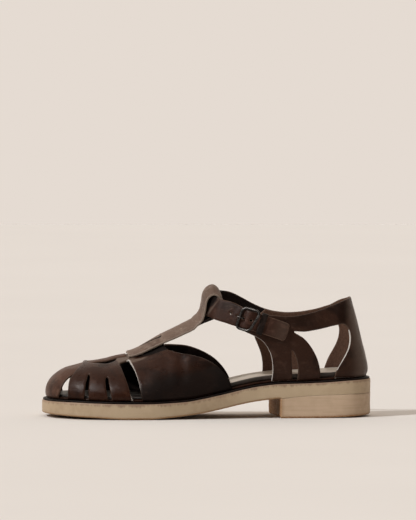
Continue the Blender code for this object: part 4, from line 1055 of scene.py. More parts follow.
def strap_loops():
    """The strap's outline with its rounded tip and a hump where the loop bends it, and its holes."""
    stations = np.linspace(2.0, STRAP_LENGTH - 3.2, 60)
    top = [(u, strap_half(u)) for u in stations]
    end, corner = STRAP_LENGTH, 3.0
    tip = []
    for k in range(1, 7):
        turn = math.radians(90 - 15 * k)
        rise = strap_half(end) - corner + corner * math.sin(turn)
        tip.append((end - corner + corner * math.cos(turn), rise))
    tip += [(end + 0.35, 2.5), (end + 0.45, 0.0)]
    tip += [(u, -v) for u, v in tip[-2::-1]]
    bottom = [(u, -strap_half(u) - 1.5 * float(ridge_of(u, strap_row(9.05), 5.0))) for u in stations[::-1]]
    half = strap_half(0)
    start = [(0.6, -half + 1.2), (0.0, -half + 2.8), (0.0, half - 2.8), (0.6, half - 1.2)]
    loops = [joined(top, tip, bottom, start)]
    for place_in_row, radius in ((0, 1.3), (-1, 0.85), (-2, 1.05), (1, 0.95)):
        at = BAR_AT - PRONG_HOLE + place_in_row * HOLE_SPACING
        turns = np.linspace(0, 2 * math.pi, 14, endpoint=False)
        loops.append([(at + radius * math.cos(t), radius * math.sin(t)) for t in turns])
    return loops


def strap_tone(u, v):
    """Painted shadow where the loop covers it, painted sheen at the bend beside the loop,
    and rubbed at the tip.
    """
    edge = strap_row(9.3) + 0.55 * (strap_row(9.9) - strap_row(8.9)) * v / 18.0
    # painted shadow of the loop on the strap
    loop_shadow = eased(u, strap_row(4.5), strap_row(5.5)) * (1 - eased(u - edge, -0.8, 0.6))
    # painted sheen where the strap turns beside the loop, stronger low down
    bend_sheen = 0.75 * ridge_of(u - edge, 2.2, 2.4) * (1 - 0.4 * eased(v, 0, 8))
    tip = 0.4 * eased(u, STRAP_LENGTH - 26, STRAP_LENGTH - 4)
    return np.clip(bend_sheen + tip - 1.3 * loop_shadow, -1, 1)


def strap_lift(u, v):
    """Soft creases where the strap leaves the loop and where the buckle pulls it."""
    folds = 0.3 * ridge_of(u, 103, 4) - 0.3 * ridge_of(u, 109, 4) + 0.2 * ridge_of(u, 116, 4)
    folds += 0.25 * ridge_of(u, BAR_AT - 11, 3) + 0.2 * ridge_of(u, KEEPER_AT + 8, 4)
    crown = 0.25 * (1 - np.clip(np.abs(v) / 8.5, 0, 1) ** 2)
    return LEATHER / 2 + folds + crown


def buckle_points(along, across, off):
    """Points of the buckle, whose sides lean on the strap; off is out from the strap's middle."""
    along, across, off = np.broadcast_arrays(*[np.asarray(v, float) for v in (along, across, off)])
    skew = BUCKLE_SKEW * np.clip(along / BUCKLE_HALF[0], 0, None)
    along = along + across * (math.sin(BUCKLE_LEAN) + skew)
    off = off + BUCKLE_TILT * along
    across = across * math.cos(BUCKLE_LEAN)
    middle, direction, up, out = strap_axes(BAR_AT)
    return middle + along[..., None] * direction + across[..., None] * up + off[..., None] * out


def add_buckle():
    """The wire frame with flattened corners, its bar, and the prong curled round the bar."""
    half_along, half_across = BUCKLE_HALF
    ring = []
    for sx, sy, start, beyond in (
        (1, 1, 0, (0, half_across)), (-1, 1, 90, (-half_along, 0)),
        (-1, -1, 180, (0, -half_across)), (1, -1, 270, (half_along, 0)),
    ):
        for k in range(9):
            turn = math.radians(start + 11.25 * k)
            ring.append((
                sx * (half_along - BUCKLE_CORNER) + BUCKLE_CORNER * math.cos(turn),
                sy * (half_across - BUCKLE_CORNER) + BUCKLE_CORNER * math.sin(turn),
            ))
        ring.append(beyond)
    ring = np.array(ring)
    sag = 0.3 * np.clip(np.abs(ring[:, 1]) / half_across, 0, 1) ** 3
    frame_line = buckle_points(ring[:, 0], ring[:, 1], BUCKLE_LIFT - sag)
    wire = tube_through("buckle_wire", frame_line, WIRE, 14, True)
    low = BAR_BUMP - LEATHER / 2 - GAP - BAR_WIRE - 0.1
    across = np.array([half_across, half_across - 0.05, half_across - 0.6, 2.0])
    across = np.concatenate([across, -across[::-1]])
    off = np.array([BUCKLE_LIFT - 0.3, low + 1.0, low, low, low, low, low + 1.0, BUCKLE_LIFT - 0.3])
    bar = tube_through("buckle_centre_bar", buckle_points(0 * across, across, off), BAR_WIRE, 10)
    prong = np.array(curve_through(
        [(2.05, 0.0), (2.7, 0.1), (3.3, 1.5), (3.6, 3.4), (4.5, 5.3), (6.2, 6.1), (9.0, 5.8)], 0.5
    ))
    middle, direction, _, out = strap_axes(BAR_AT)
    points = middle - prong[:, 0:1] * direction + prong[:, 1:2] * out
    return wire, bar, tube_through("buckle_pin", points, PRONG_WIRE, 12)


def keeper_surface(u, v):
    """The keeper's middle surface: u round the strap, v along it."""
    middle, direction, up, out = strap_axes(KEEPER_AT)
    across = np.interp(u, KEEPER_RUN, KEEPER_ROUTE[:, 0])
    off = np.interp(u, KEEPER_RUN, KEEPER_ROUTE[:, 1])
    return middle + across[:, None] * up + off[:, None] * out + np.asarray(v)[:, None] * direction


def keeper_route():
    """The keeper's way round the strap, as (up, out) from the strap's middle."""
    half = strap_half(KEEPER_AT) + 2 * GAP + KEEPER_THICK / 2
    high = LEATHER / 2 + 2 * GAP + KEEPER_THICK / 2
    low = -LEATHER / 2 + KEEPER_THICK / 2
    rows = [(-half, low), (-half, high - 1.2), (-half + 1.2, high), (0, high + 0.2)]
    rows += [(half - 1.2, high), (half, high - 1.2), (half, low)]
    return np.array(curve_through(rows, 0.5))


KEEPER_ROUTE = keeper_route()
KEEPER_RUN = run_along(KEEPER_ROUTE)


def keeper_loop():
    """The keeper laid flat: a band as long as its way round the strap."""
    length, half = float(KEEPER_RUN[-1]), KEEPER_WIDTH / 2
    corners = [(0.0, -half), (length, -half), (length, half), (0.0, half)]
    return joined(*[
        [tuple(p) for p in np.linspace(start, end, count)]
        for start, end, count in zip(corners, corners[1:] + corners[:1], (24, 8, 24, 8))
    ])


# ---------------------------------------------------------------- sole, heel, midsole, footbed
def ring_points(inset, height):
    """One level of a piece: tip, lateral side, tip, medial side back."""
    stations = outline_stations(inset)
    sides = np.concatenate([edge(stations, -1, inset), edge(stations, 1, inset)[-2:0:-1]])
    stations = np.concatenate([stations, stations[-2:0:-1]])
    return np.stack([stations, sides, height(stations)], axis=-1)


def stacked(name, rings, **attributes):
    """A solid from rings of equal count, with ladder caps."""
    rings = [np.asarray(level) for level in rings]
    count = len(rings[0])
    faces = ladder(count, len(rings))
    for base in (0, (len(rings) - 1) * count):
        half = count // 2
        faces.append((base, base + 1, base + count - 1))
        for i in range(1, half - 1):
            faces.append((base + i, base + i + 1, base + count - i - 1, base + count - i))
        faces.append((base + half - 1, base + half, base + half + 1))
    return mesh_object(name, np.concatenate(rings), faces, **attributes)


def painted_crepe_shade(points):
    """How much painted shade the crepe has: at the toe, under the arch and round the back of the heel."""
    station = points[:, 0]
    toe = 0.55 * eased(station, 225, 285)
    arch = 0.5 * ridge_of(station, 150, 45)
    back = 0.75 * (1 - eased(station, 2, 26))
    return np.clip(toe + arch + back, 0, 1)


CREPE_WAVE, CREPE_RIPPLE, CREPE_TEAR = 9.0, 2.6, 1.5  # sizes of the unevenness
CREPE_SKIN_DEPTH = 3.0  # rings further in than this stay smooth


def crepe_relief(ring, seed, wave, ripple, tear):
    """How far the crepe's side stands out, and how its lower edge is torn."""
    side_relief = bumps(ring, CREPE_WAVE, seed) * wave + bumps(ring, CREPE_RIPPLE, seed + 1) * ripple
    return np.minimum(side_relief, 0.25), bumps(ring, CREPE_TEAR, seed + 2) * tear


def crepe_piece(name, rings, raw, levels):
    """The stacked rings with how raw and how high each point is, and how much painted shade it has."""
    level = np.repeat(levels, len(rings[0]))
    grime = np.concatenate([painted_crepe_shade(ring) for ring in rings])
    return stacked(name, rings, raw=np.concatenate(raw), level=level, grime=grime)


def add_outsole():
    """The crepe runner: rings out from under its middle, up its torn side and in again on top."""
    levels = [(27, 0.0), (24, 0.0), (12, 0.0), (5, 0.0), (2, 0.02), (0.7, 0.04)]
    levels += [(0.15, 0.10)] + [(0.0, share) for share in (0.18, 0.3, 0.42, 0.54, 0.66, 0.78, 0.88)]
    levels += [(0.1, 0.95), (0.5, 1.0), (2.5, 1.0), (12, 1.0)]
    rings, raw = [], []
    for inset, share in levels:
        height = lambda s: SOLE("under", s) * (1 - share) + SOLE("top", s) * share
        ring = ring_points(inset, height)
        over_heel = 1 - eased(ring[:, 0], HEEL_BREAST - 3, HEEL_BREAST + 1)
        if inset < CREPE_SKIN_DEPTH and share < 0.5:
            straight = ring_points(0.0, height)
            ring += (straight - ring) * over_heel[:, None]
        spine = np.clip(ring[:, 0], HEEL_ROUND, POLE)
        outward = unit(ring - np.stack([spine, SOLE("centre", spine), ring[:, 2]], axis=-1))
        wave, torn = crepe_relief(ring, 1, 0.22, 0.14, 0.55)
        torn = torn * (1 - eased(share, 0.0, 0.25)) * (inset < CREPE_SKIN_DEPTH) * (1 - over_heel)
        ring = ring + outward * (wave + np.minimum(torn, 0.0))[:, None] * (inset < CREPE_SKIN_DEPTH)
        ring[:, 2] += np.maximum(0.0, torn) * (share < 0.1) * 0.7
        rings.append(ring)
        raw.append((1 - eased(share, 0.05, 0.19)) * (1 - over_heel))
    return crepe_piece("crepe_runner", rings, raw, [share for _, share in levels])


def heel_ring(inset, height):
    """One level of the heel block: the outline up to the breast, which is slightly hollow."""
    front = HEEL_BREAST - inset
    turn = np.linspace(0, math.pi / 2, 20, endpoint=False)
    stations = HEEL_ROUND - (HEEL_ROUND - inset) * np.cos(turn) ** (2 / HEEL_POWER)
    stations = np.concatenate([stations, np.linspace(HEEL_ROUND, front - 3.0, 25)])
    lateral = np.stack([stations[1:], edge(stations[1:], -1, inset)], axis=-1)
    medial = np.stack([stations[1:], edge(stations[1:], 1, inset)], axis=-1)[::-1]
    outer, inner = [(front + sign * 0.9, float(edge(front + sign * 0.9, sign, inset))) for sign in (-1, 1)]
    breast = []
    for share in np.arange(1, 22) / 22:
        station, side_at = (outer[i] * (1 - share) + inner[i] * share for i in (0, 1))
        breast.append((station - 1.8 * math.sin(math.pi * share), side_at))
    flat = np.concatenate([[(stations[0], 0.0)], lateral, [outer], breast, [inner], medial])
    return np.concatenate([flat, height(flat[:, 0])[:, None]], axis=1)


def add_heel_block():
    """The stacked crepe heel under the runner, with the faint seam of its lifts and a torn lower edge."""
    levels = [(20, 0.0), (9, 0.0), (3, 0.0), (0.8, 0.01), (0.15, 0.06), (0.0, 0.12)]
    levels += [(0.0, share) for share in (0.22, 0.32, 0.42, 0.5, 0.58, 0.68, 0.78, 0.88, 0.95, 1.0)]
    levels += [(6.0, 1.0)]
    rings, raw = [], []
    for inset, share in levels:
        height = lambda s: HEEL("bottom", s) * (1 - share) + (SOLE("under", s) - 0.02) * share
        ring = heel_ring(inset, height)
        outward = unit((ring - (HEEL_MIDDLE, 0.0, 0.0)) * (1, 1, 0))
        front = eased(ring[:, 0], HEEL_BREAST - 4, HEEL_BREAST - 1.5)
        wave, torn = crepe_relief(ring, 4, 0.2, 0.12 + 0.25 * front, 0.6)
        torn = torn * (1 - eased(share, 0.0, 0.2))
        seam = 0.12 * ridge_of(ring[:, 2], 11.0, 0.9)
        move = wave + np.minimum(torn, 0.0) - seam
        rings.append(ring + outward * move[:, None] * (inset < CREPE_SKIN_DEPTH))
        raw.append(np.maximum(1 - eased(share, 0.04, 0.14), front))
    return crepe_piece("crepe_heel", rings, raw, [0.5 * share for _, share in levels])


def add_midsole():
    """The thin dark leather layer on the crepe, its edge a little uneven."""
    inset = 0.8
    low = lambda s: SOLE("top", s) + GAP - 0.25
    rings = []
    for more, share in ((9, 0.0), (0.5, 0.0), (0.0, 0.25), (0.0, 0.75), (0.4, 1.0), (9, 1.0)):
        ring = ring_points(inset + more, lambda s: low(s) + (MIDSOLE + 0.25) * share)
        ring[:, 2] += bumps(ring, 12.0, 7) * 0.12
        rings.append(ring)
    return stacked("leather_midsole", rings)


def add_footbed():
    """The covered footbed: stepped underneath for the upper's margin, rolled edge, cupped top."""
    plug = UPPER_INSET + LEATHER / 2 + MARGIN_WIDTH + GAP
    flare, soft = 0.7, 1.4
    above = lambda s: foot_height(s) + MARGIN + GAP
    top = lambda s: SOLE("top", s) + GAP + MIDSOLE + FOOTBED("thick", s)
    wide = FOOTBED_INSET - flare
    rings = [
        ring_points(plug, foot_height),
        ring_points(plug, above),
        ring_points(FOOTBED_INSET, above),
        ring_points(FOOTBED_INSET - 0.35, lambda s: (above(s) + top(s) - soft) / 2),
        ring_points(wide, lambda s: top(s) - soft),
    ]
    for turn in (25, 50, 75, 90):
        angle = math.radians(turn)
        inset = wide + soft * (1 - math.cos(angle))
        rings.append(ring_points(inset, lambda s: top(s) - soft + soft * math.sin(angle)))
    for more, cup in ((5, 0.25), (9, 0.9), (13, 1.3), (20, 1.5)):
        rings.append(ring_points(wide + more, lambda s: top(s) - cup))
    top_share = np.repeat([0, 0, 0, 0, 0, 0, 0.4, 1, 1, 1, 1, 1, 1], len(rings[0]))
    # painted shade: darker forward of the arch, where the cage shades the footbed
    shade = 0.9 * eased(np.concatenate(rings)[:, 0], 150, 182)
    return stacked("footbed_cover", rings, top=top_share, shade=shade)


def add_margin():
    """The part of the upper that is turned in under the footbed."""
    near, far = UPPER_INSET + LEATHER / 2, UPPER_INSET + LEATHER / 2 + MARGIN_WIDTH
    section = ((near, 0.0), (near - 0.3, 0.7), (near, MARGIN - 0.3))
    section += ((near + 0.6, MARGIN), (far, MARGIN), (far, 0.0))
    rings = [ring_points(inset, lambda s: foot_height(s) + up) for inset, up in section]
    faces = ladder(len(rings[0]), len(rings), True)
    points = np.concatenate(rings)
    whole, grain_side = np.full(len(points), 6.0), np.zeros(len(points))
    return mesh_object("upper_margin", points, faces, cut=whole, flesh=grain_side)


# ---------------------------------------------------------------- pieces and the nodes they stand for
cage = leather_sheet("cage", cage_loops(), last_points, 1, cage_lift, pale_lip=cage_lip_highlight, tone=cage_tone)
toe_strap = leather_sheet("toe_strap", [toe_strap_loop()], last_points, 1, toe_strap_lift)
heel_part = leather_sheet(
    "quarters_and_counter", heel_loops(), wall_points, -1, heel_lift, pale_lip=heel_lip_highlight, tone=heel_tone,
)
margin = add_margin()
t_bar = leather_sheet("t_bar_leather", tbar_loops(), tbar_points, -1, tbar_lift, step=1.3, tone=tbar_painted_shade)
strap = leather_sheet(
    "strap_leather", strap_loops(), strap_points, -1, strap_lift, step=1.2, tone=strap_tone
)
keeper = leather_sheet(
    "keeper_band", [keeper_loop()], keeper_surface, 1,
    lambda u, v: np.full(len(u), KEEPER_THICK / 2), KEEPER_THICK, 0.8, 0.3,
)
runner = add_outsole()
heel = add_heel_block()
mid = add_midsole()
bed = add_footbed()
buckle_wire, buckle_bar, buckle_pin = add_buckle()


# ---------------------------------------------------------------- node trees
class Nodes:
    """Adds nodes to a tree.

    Most calls give back the new node's output; add() gives the node and group() all its outputs.
    """

    def __init__(self, tree):
        self.tree = tree

    def add(self, kind, **settings):
        node = self.tree.nodes.new("ShaderNode" + kind)
        for key, value in settings.items():
            setattr(node, key, value)
        return node

    def feed(self, socket, value):
        if isinstance(value, bpy.types.NodeSocket):
            self.tree.links.new(value, socket)
        elif isinstance(value, tuple) and socket.type == "RGBA":
            socket.default_value = (*value[:3], 1)
        else:
            socket.default_value = value

    def fill(self, node, given):
        for label, value in given.items():
            self.feed(node.inputs[label], value)

    def math(self, operation, first, second=0.0, clamp=False):
        node = self.add("Math", operation=operation, use_clamp=clamp)
        self.feed(node.inputs[0], first)
        self.feed(node.inputs[1], second)
        return node.outputs[0]

    def times(self, first, second, clamp=False):
        return self.math("MULTIPLY", first, second, clamp)

    def plus(self, first, second, clamp=False):
        return self.math("ADD", first, second, clamp)

    def mix(self, share, first, second, blend="MIX"):
        node = self.add("Mix", data_type="RGBA", blend_type=blend)
        self.feed(node.inputs["Factor"], share)
        self.feed(node.inputs[6], first)
        self.feed(node.inputs[7], second)
        return node.outputs[2]

    def step(self, value, low, high, start=0.0, end=1.0):
        node = self.add("MapRange", interpolation_type="SMOOTHSTEP")
        self.fill(node, {"Value": value, "From Min": low, "From Max": high, "To Min": start, "To Max": end})
        return node.outputs["Result"]

    def noise(self, vector, scale, detail=3.0, rough=0.5, warp=0.0):
        node = self.add("TexNoise")
        sizes = {"Scale": scale, "Detail": detail, "Roughness": rough, "Distortion": warp}
        self.fill(node, {"Vector": vector, **sizes})
        return node.outputs["Fac"]

    def cells(self, vector, scale):
        node = self.add("TexVoronoi", feature="DISTANCE_TO_EDGE")
        self.fill(node, {"Vector": vector, "Scale": scale})
        return node.outputs["Distance"]

    def stretched(self, vector, size, turn=(0.0, 0.0, 0.0)):
        node = self.add("Mapping")
        self.fill(node, {"Vector": vector, "Rotation": turn, "Scale": size})
        return node.outputs["Vector"]

    def value_of(self, name):
        return self.add("Attribute", attribute_name=name).outputs["Fac"]

    def place(self):
        return self.add("TexCoord").outputs["Object"]

    def group(self, tree, **inputs):
        node = self.add("Group", node_tree=tree)
        self.fill(node, inputs)
        return node.outputs


BLACK = (0.0, 0.0, 0.0, 1.0)


def shader_group(name, outputs, **inputs):
    """A node group that works on a Vector: its tree, nodes, what comes in and what goes out."""
    tree = bpy.data.node_groups.new(name, "ShaderNodeTree")
    tree.interface.new_socket("Vector", in_out="INPUT", socket_type="NodeSocketVector")
    for label, value in inputs.items():
        kind = "NodeSocketColor" if isinstance(value, tuple) else "NodeSocketFloat"
        tree.interface.new_socket(label, in_out="INPUT", socket_type=kind).default_value = value
    for label in outputs:
        kind = "NodeSocketColor" if label == "Color" else "NodeSocketFloat"
        tree.interface.new_socket(label, in_out="OUTPUT", socket_type=kind)
    entry, leave = tree.nodes.new("NodeGroupInput"), tree.nodes.new("NodeGroupOutput")
    return tree, Nodes(tree), entry.outputs, leave.inputs


def group_leather_colour():
    """Aniline leather: two tones of broad cloud over the base, and a fine mottle."""
    tree, make, given, out = shader_group(
        "leather_colour", ("Color",), Base=BLACK, Dark=BLACK, Light=BLACK, Clouds=0.8, Mottle=0.5
    )
    broad = make.noise(given["Vector"], 34.0, 3.0, 0.55, 0.6)
    turned = make.stretched(given["Vector"], (1.0, 1.0, 1.4), (0.3, 0.5, 0.2))
    other = make.noise(turned, 85.0, 4.0, 0.6, 0.3)
    fine = make.noise(given["Vector"], 900.0, 4.0, 0.7)
    dark = make.times(make.step(broad, 0.46, 0.66), given["Clouds"])
    light = make.times(make.step(other, 0.5, 0.72), given["Clouds"])
    colour = make.mix(dark, given["Base"], given["Dark"])
    colour = make.mix(light, colour, given["Light"])
    shade = make.times(make.step(fine, 0.25, 0.8, 0.45, -0.45), given["Mottle"])
    value = make.plus(1.0, shade)
    spread = make.add("CombineColor")
    for channel in ("Red", "Green", "Blue"):
        make.feed(spread.inputs[channel], value)
    make.feed(out["Color"], make.mix(1.0, colour, spread.outputs["Color"], "MULTIPLY"))
    return tree


def group_edge_wear():
    """A worn, paler line along a cut edge: full at the edge, gone at the width, broken by noise."""
    tree, make, given, out = shader_group(
        "edge_wear", ("Color",), Color=BLACK, Worn=BLACK, Cut=5.0, Width=0.6, Amount=0.6
    )
    broken = make.step(make.noise(given["Vector"], 420.0, 3.0, 0.6), 0.25, 0.75, 0.55, 1.35)
    share = make.math("DIVIDE", given["Cut"], make.times(given["Width"], broken))
    near = make.math("SUBTRACT", 1.0, share, clamp=True)
    mask = make.times(near, given["Amount"], clamp=True)
    make.feed(out["Color"], make.mix(mask, given["Color"], given["Worn"]))
    return tree


def group_leather_grain():
    """Fine pores and soft wrinkles as a height, and where the finish is duller."""
    tree, make, given, out = shader_group("leather_grain", ("Height", "Dull"), Pores=1500.0, Wrinkles=0.4)
    pores = make.step(make.cells(given["Vector"], given["Pores"]), 0.0, 0.12)
    grown = make.stretched(given["Vector"], (1.0, 0.45, 1.0), (0.0, 0.4, 0.3))
    soft = make.noise(grown, 260.0, 5.0, 0.62, 1.2)
    make.feed(out["Height"], make.plus(make.times(pores, 0.35), make.times(soft, given["Wrinkles"])))
    make.feed(out["Dull"], make.step(make.noise(given["Vector"], 120.0, 4.0, 0.6), 0.35, 0.7))
    return tree


def group_scuffs():
    """Short pale scratches, mostly one way, and rubbed places."""
    tree, make, given, out = shader_group("scuffs", ("Mask",), Amount=0.5)
    drawn = make.stretched(given["Vector"], (0.12, 0.5, 1.6), (0.2, -0.5, 0.1))
    lines = make.noise(drawn, 900.0, 2.0, 0.5)
    rubbed = make.noise(given["Vector"], 55.0, 4.0, 0.65)
    mask = make.times(make.step(lines, 0.6, 0.72), make.step(rubbed, 0.45, 0.7))
    mask = make.plus(mask, make.times(make.step(rubbed, 0.56, 0.8), 0.35))
    make.feed(out["Mask"], make.times(mask, given["Amount"], clamp=True))
    return tree


def group_crepe_skin():
    """Crepe rubber: cloudy amber, faint level lines, dark specks, and a crumbly torn part."""
    tree, make, given, out = shader_group(
        "crepe_skin", ("Color", "Height"), Base=BLACK, Shade=BLACK, Torn=BLACK, Raw=0.0, Lines=0.4
    )
    cloud = make.noise(given["Vector"], 42.0, 4.0, 0.6, 0.4)
    speck = make.noise(given["Vector"], 1400.0, 2.0, 0.6)
    line = make.noise(make.stretched(given["Vector"], (0.04, 0.04, 1.0)), 620.0, 3.0, 0.6)
    crumb = make.noise(given["Vector"], 900.0, 5.0, 0.7)
    lined = make.times(make.step(line, 0.4, 0.7), given["Lines"])
    share = make.plus(make.step(cloud, 0.35, 0.75, 0.0, 0.6), lined)
    share = make.plus(share, make.step(speck, 0.62, 0.8, 0.0, 0.25), clamp=True)
    colour = make.mix(share, given["Base"], given["Shade"])
    torn = make.times(given["Raw"], make.step(crumb, 0.3, 0.62, 0.35, 1.0), clamp=True)
    make.feed(out["Color"], make.mix(torn, colour, given["Torn"]))
    height = make.plus(make.times(line, 0.35), make.times(speck, 0.2))
    crumbly = make.times(crumb, make.times(given["Raw"], 1.6))
    make.feed(out["Height"], make.plus(height, crumbly))
    return tree


LEATHER_COLOUR = group_leather_colour()
EDGE_WEAR = group_edge_wear()
LEATHER_GRAIN = group_leather_grain()
SCUFFS = group_scuffs()
CREPE_SKIN = group_crepe_skin()


def new_material(name, specular, metallic=0.0):
    """A Principled material and the means to add to it."""
    material = bpy.data.materials.new(name)
    material.use_nodes = True
    shader = material.node_tree.nodes["Principled BSDF"]
    shader.inputs["Metallic"].default_value = metallic
    shader.inputs["Specular IOR Level"].default_value = specular
    return material, shader, Nodes(material.node_tree)


def finish(make, shader, colour, rough, height, strength, depth):
    """Gives the shader its colour, roughness and relief."""
    bump = make.add("Bump")
    make.fill(bump, {"Strength": strength, "Distance": depth, "Height": height})
    make.fill(shader, {"Base Color": colour, "Roughness": rough, "Normal": bump.outputs["Normal"]})


# ---------------------------------------------------------------- finishes
FLESH = (0.150, 0.080, 0.053)
DYED_FLESH = (0.016, 0.009, 0.007)
# pale undyed cut edge, which also stands in as painted highlight
UNDYED_EDGE_AND_HIGHLIGHT = (0.66, 0.62, 0.58)
PALE_WEAR_AND_SHEEN = (0.125, 0.088, 0.068)
DARK_AND_PAINTED_SHADE = (0.006, 0.003, 0.002)
TORN_CREPE = (0.30, 0.13, 0.03)
GLUE = (0.27, 0.165, 0.115)
# the colour of the crepe's painted shade
CREPE_SHADE_COLOUR = (0.30, 0.20, 0.12)


def leather_material(
    name, base, dark, light, worn,
    rough=0.4, clouds=0.8, scuffed=0.5, edge=0.5, width=0.7, flesh=FLESH,
):
    """Waxed brown leather: clouded grain side, fuzzy flesh side, paler cut edges."""
    material, shader, make = new_material(name, 0.11)
    place = make.place()
    cut, back, lip = make.value_of("cut"), make.value_of("flesh"), make.value_of("lip")
    tone = make.value_of("tone")
    colours = {"Base": base, "Dark": dark, "Light": light}
    colour = make.group(LEATHER_COLOUR, Vector=place, **colours, Clouds=clouds, Mottle=0.5)["Color"]
    # tone: 1 mixes in pale wear and painted sheen, -1 painted shade and darker patches
    colour = make.mix(make.step(tone, 0.0, 1.0), colour, PALE_WEAR_AND_SHEEN)
    colour = make.mix(make.step(tone, 0.0, -1.0), colour, DARK_AND_PAINTED_SHADE)
    marks = make.group(SCUFFS, Vector=place, Amount=scuffed)["Mask"]
    colour = make.mix(marks, colour, worn)
    fuzz = make.step(make.noise(place, 700.0, 4.0, 0.7), 0.3, 0.75)
    colour = make.mix(back, colour, make.mix(fuzz, flesh, tuple(0.55 * c for c in flesh)))
    for pale, width_there, amount in (
        (worn, width, make.step(tone, -1.0, -0.5, 0.0, edge)),
        (UNDYED_EDGE_AND_HIGHLIGHT, lip, make.math("GREATER_THAN", lip, 0.01)),
    ):
        wear = {"Worn": pale, "Cut": cut, "Width": width_there, "Amount": amount}
        colour = make.group(EDGE_WEAR, Vector=place, Color=colour, **wear)["Color"]
    grain = make.group(LEATHER_GRAIN, Vector=place, Pores=1500.0, Wrinkles=0.55)
    dull = make.plus(make.times(grain["Dull"], 0.13), make.times(back, 0.35))
    dull = make.plus(dull, make.times(marks, 0.15))
    dull = make.plus(dull, make.times(make.step(tone, -0.5, -1.0), 0.5))
    finish(make, shader, colour, make.plus(dull, rough, clamp=True), grain["Height"], 0.35, 0.00025)
    return material


def crepe_material(name, base, shade, lines, glue):
    """Pale crepe: torn amber lower edge; glue is how strongly the top edge is stained."""
    material, shader, make = new_material(name, 0.35)
    place = make.place()
    raw, level, grime = make.value_of("raw"), make.value_of("level"), make.value_of("grime")
    colours = {"Base": base, "Shade": shade, "Torn": TORN_CREPE}
    skin = make.group(CREPE_SKIN, Vector=place, **colours, Raw=raw, Lines=lines)
    wavy = make.noise(make.stretched(place, (1.0, 1.0, 0.2)), 260.0, 5.0, 0.7)
    edge_at = make.step(wavy, 0.3, 0.7, 0.68, 0.86)
    stain = make.times(make.step(make.math("SUBTRACT", level, edge_at), 0.0, 0.2), glue)
    patchy = make.step(make.noise(place, 130.0, 4.0, 0.6), 0.3, 0.7, 0.5, 1.0)
    colour = make.mix(stain, skin["Color"], GLUE)
    # painted shade, broken into patches
    colour = make.mix(make.times(grime, patchy), colour, CREPE_SHADE_COLOUR)
    finish(make, shader, colour, make.plus(make.times(raw, 0.2), 0.58), skin["Height"], 0.5, 0.0004)
    return material


def midsole_material():
    """The midsole's dyed edge, nearly black, with a few brown rubs."""
    material, shader, make = new_material("midsole_edge", 0.1)
    place = make.place()
    colours = {"Base": (0.008, 0.0045, 0.0035), "Dark": (0.004, 0.0022, 0.0018)}
    colours["Light"] = (0.022, 0.012, 0.009)
    face = make.group(LEATHER_COLOUR, Vector=place, **colours, Clouds=0.8, Mottle=0.5)
    layered = make.stretched(place, (1.0, 1.0, 2.0))
    grain = make.group(LEATHER_GRAIN, Vector=layered, Pores=1100.0, Wrinkles=0.6)
    rough = make.plus(make.times(grain["Dull"], 0.15), 0.48)
    finish(make, shader, face["Color"], rough, grain["Height"], 0.4, 0.0003)
    return material


def footbed_material():
    """Pale on top as painted reflection, dark where it goes down the side, and painted shade into the toe.
    """
    material, shader, make = new_material("footbed_leather", 0.4)
    place = make.place()
    # painted reflection: pale top colours stand in for the sheen of the dark leather seen at a low angle
    colours = {"Base": (0.42, 0.37, 0.31), "Dark": (0.33, 0.27, 0.21), "Light": (0.5, 0.45, 0.4)}
    face = make.group(LEATHER_COLOUR, Vector=place, **colours, Clouds=0.6, Mottle=0.25)
    colours = {"Base": (0.030, 0.020, 0.015), "Dark": (0.012, 0.008, 0.006), "Light": (0.06, 0.04, 0.03)}
    side_face = make.group(LEATHER_COLOUR, Vector=place, **colours, Clouds=0.7, Mottle=0.5)
    colour = make.mix(make.step(make.value_of("top"), 0.3, 0.75), side_face["Color"], face["Color"])
    # painted shade over the forepart
    colour = make.mix(make.value_of("shade"), colour, (0.010, 0.007, 0.006))
    colour = make.mix(make.group(SCUFFS, Vector=place, Amount=0.35)["Mask"], colour, (0.22, 0.17, 0.13))
    grain = make.group(LEATHER_GRAIN, Vector=place, Pores=1300.0, Wrinkles=0.4)
    rough = make.plus(make.times(grain["Dull"], 0.14), 0.45)
    finish(make, shader, colour, rough, grain["Height"], 0.3, 0.0002)
    return material


def gunmetal_material():
    """Blackened steel wire, rubbed bright in places."""
    material, shader, make = new_material("gunmetal", 0.5, 1.0)
    place = make.place()
    cloud = make.step(make.noise(place, 320.0, 4.0, 0.6), 0.42, 0.7)
    fine = make.noise(place, 2400.0, 3.0, 0.6)
    colour = make.mix(cloud, (0.030, 0.028, 0.027), (0.10, 0.095, 0.09))
    finish(make, shader, colour, make.step(fine, 0.3, 0.75, 0.26, 0.44), fine, 0.2, 0.0001)
    return material


def thread_material():
    """Waxed reddish-brown thread with its twist."""
    material, shader, make = new_material("waxed_thread", 0.35)
    turned = make.stretched(make.place(), (1.0, 1.0, 1.0), (0.6, 0.4, 0.9))
    twist = make.noise(turned, 2600.0, 2.0, 0.6)
    colour = make.mix(make.step(twist, 0.35, 0.65), (0.10, 0.045, 0.03), (0.19, 0.09, 0.06))
    finish(make, shader, colour, 0.6, twist, 0.4, 0.0001)
    return material


def floor_material():
    """The studio's pale, seamless floor."""
    material, shader, make = new_material("studio_floor", 0.0)
    cloud = make.step(make.noise(make.place(), 3.0, 2.0, 0.5), 0.3, 0.7)
    make.fill(shader, {"Base Color": make.mix(cloud, *FLOOR_TONES), "Roughness": 1.0})
    return material


def dress(pieces, nodes, material):
    """Gives pieces their finish, their body and the nodes they stand for."""
    for piece in pieces:
        piece.data.materials.clear()
        piece.data.materials.append(material)
        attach(piece, "root")
        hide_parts(*nodes)


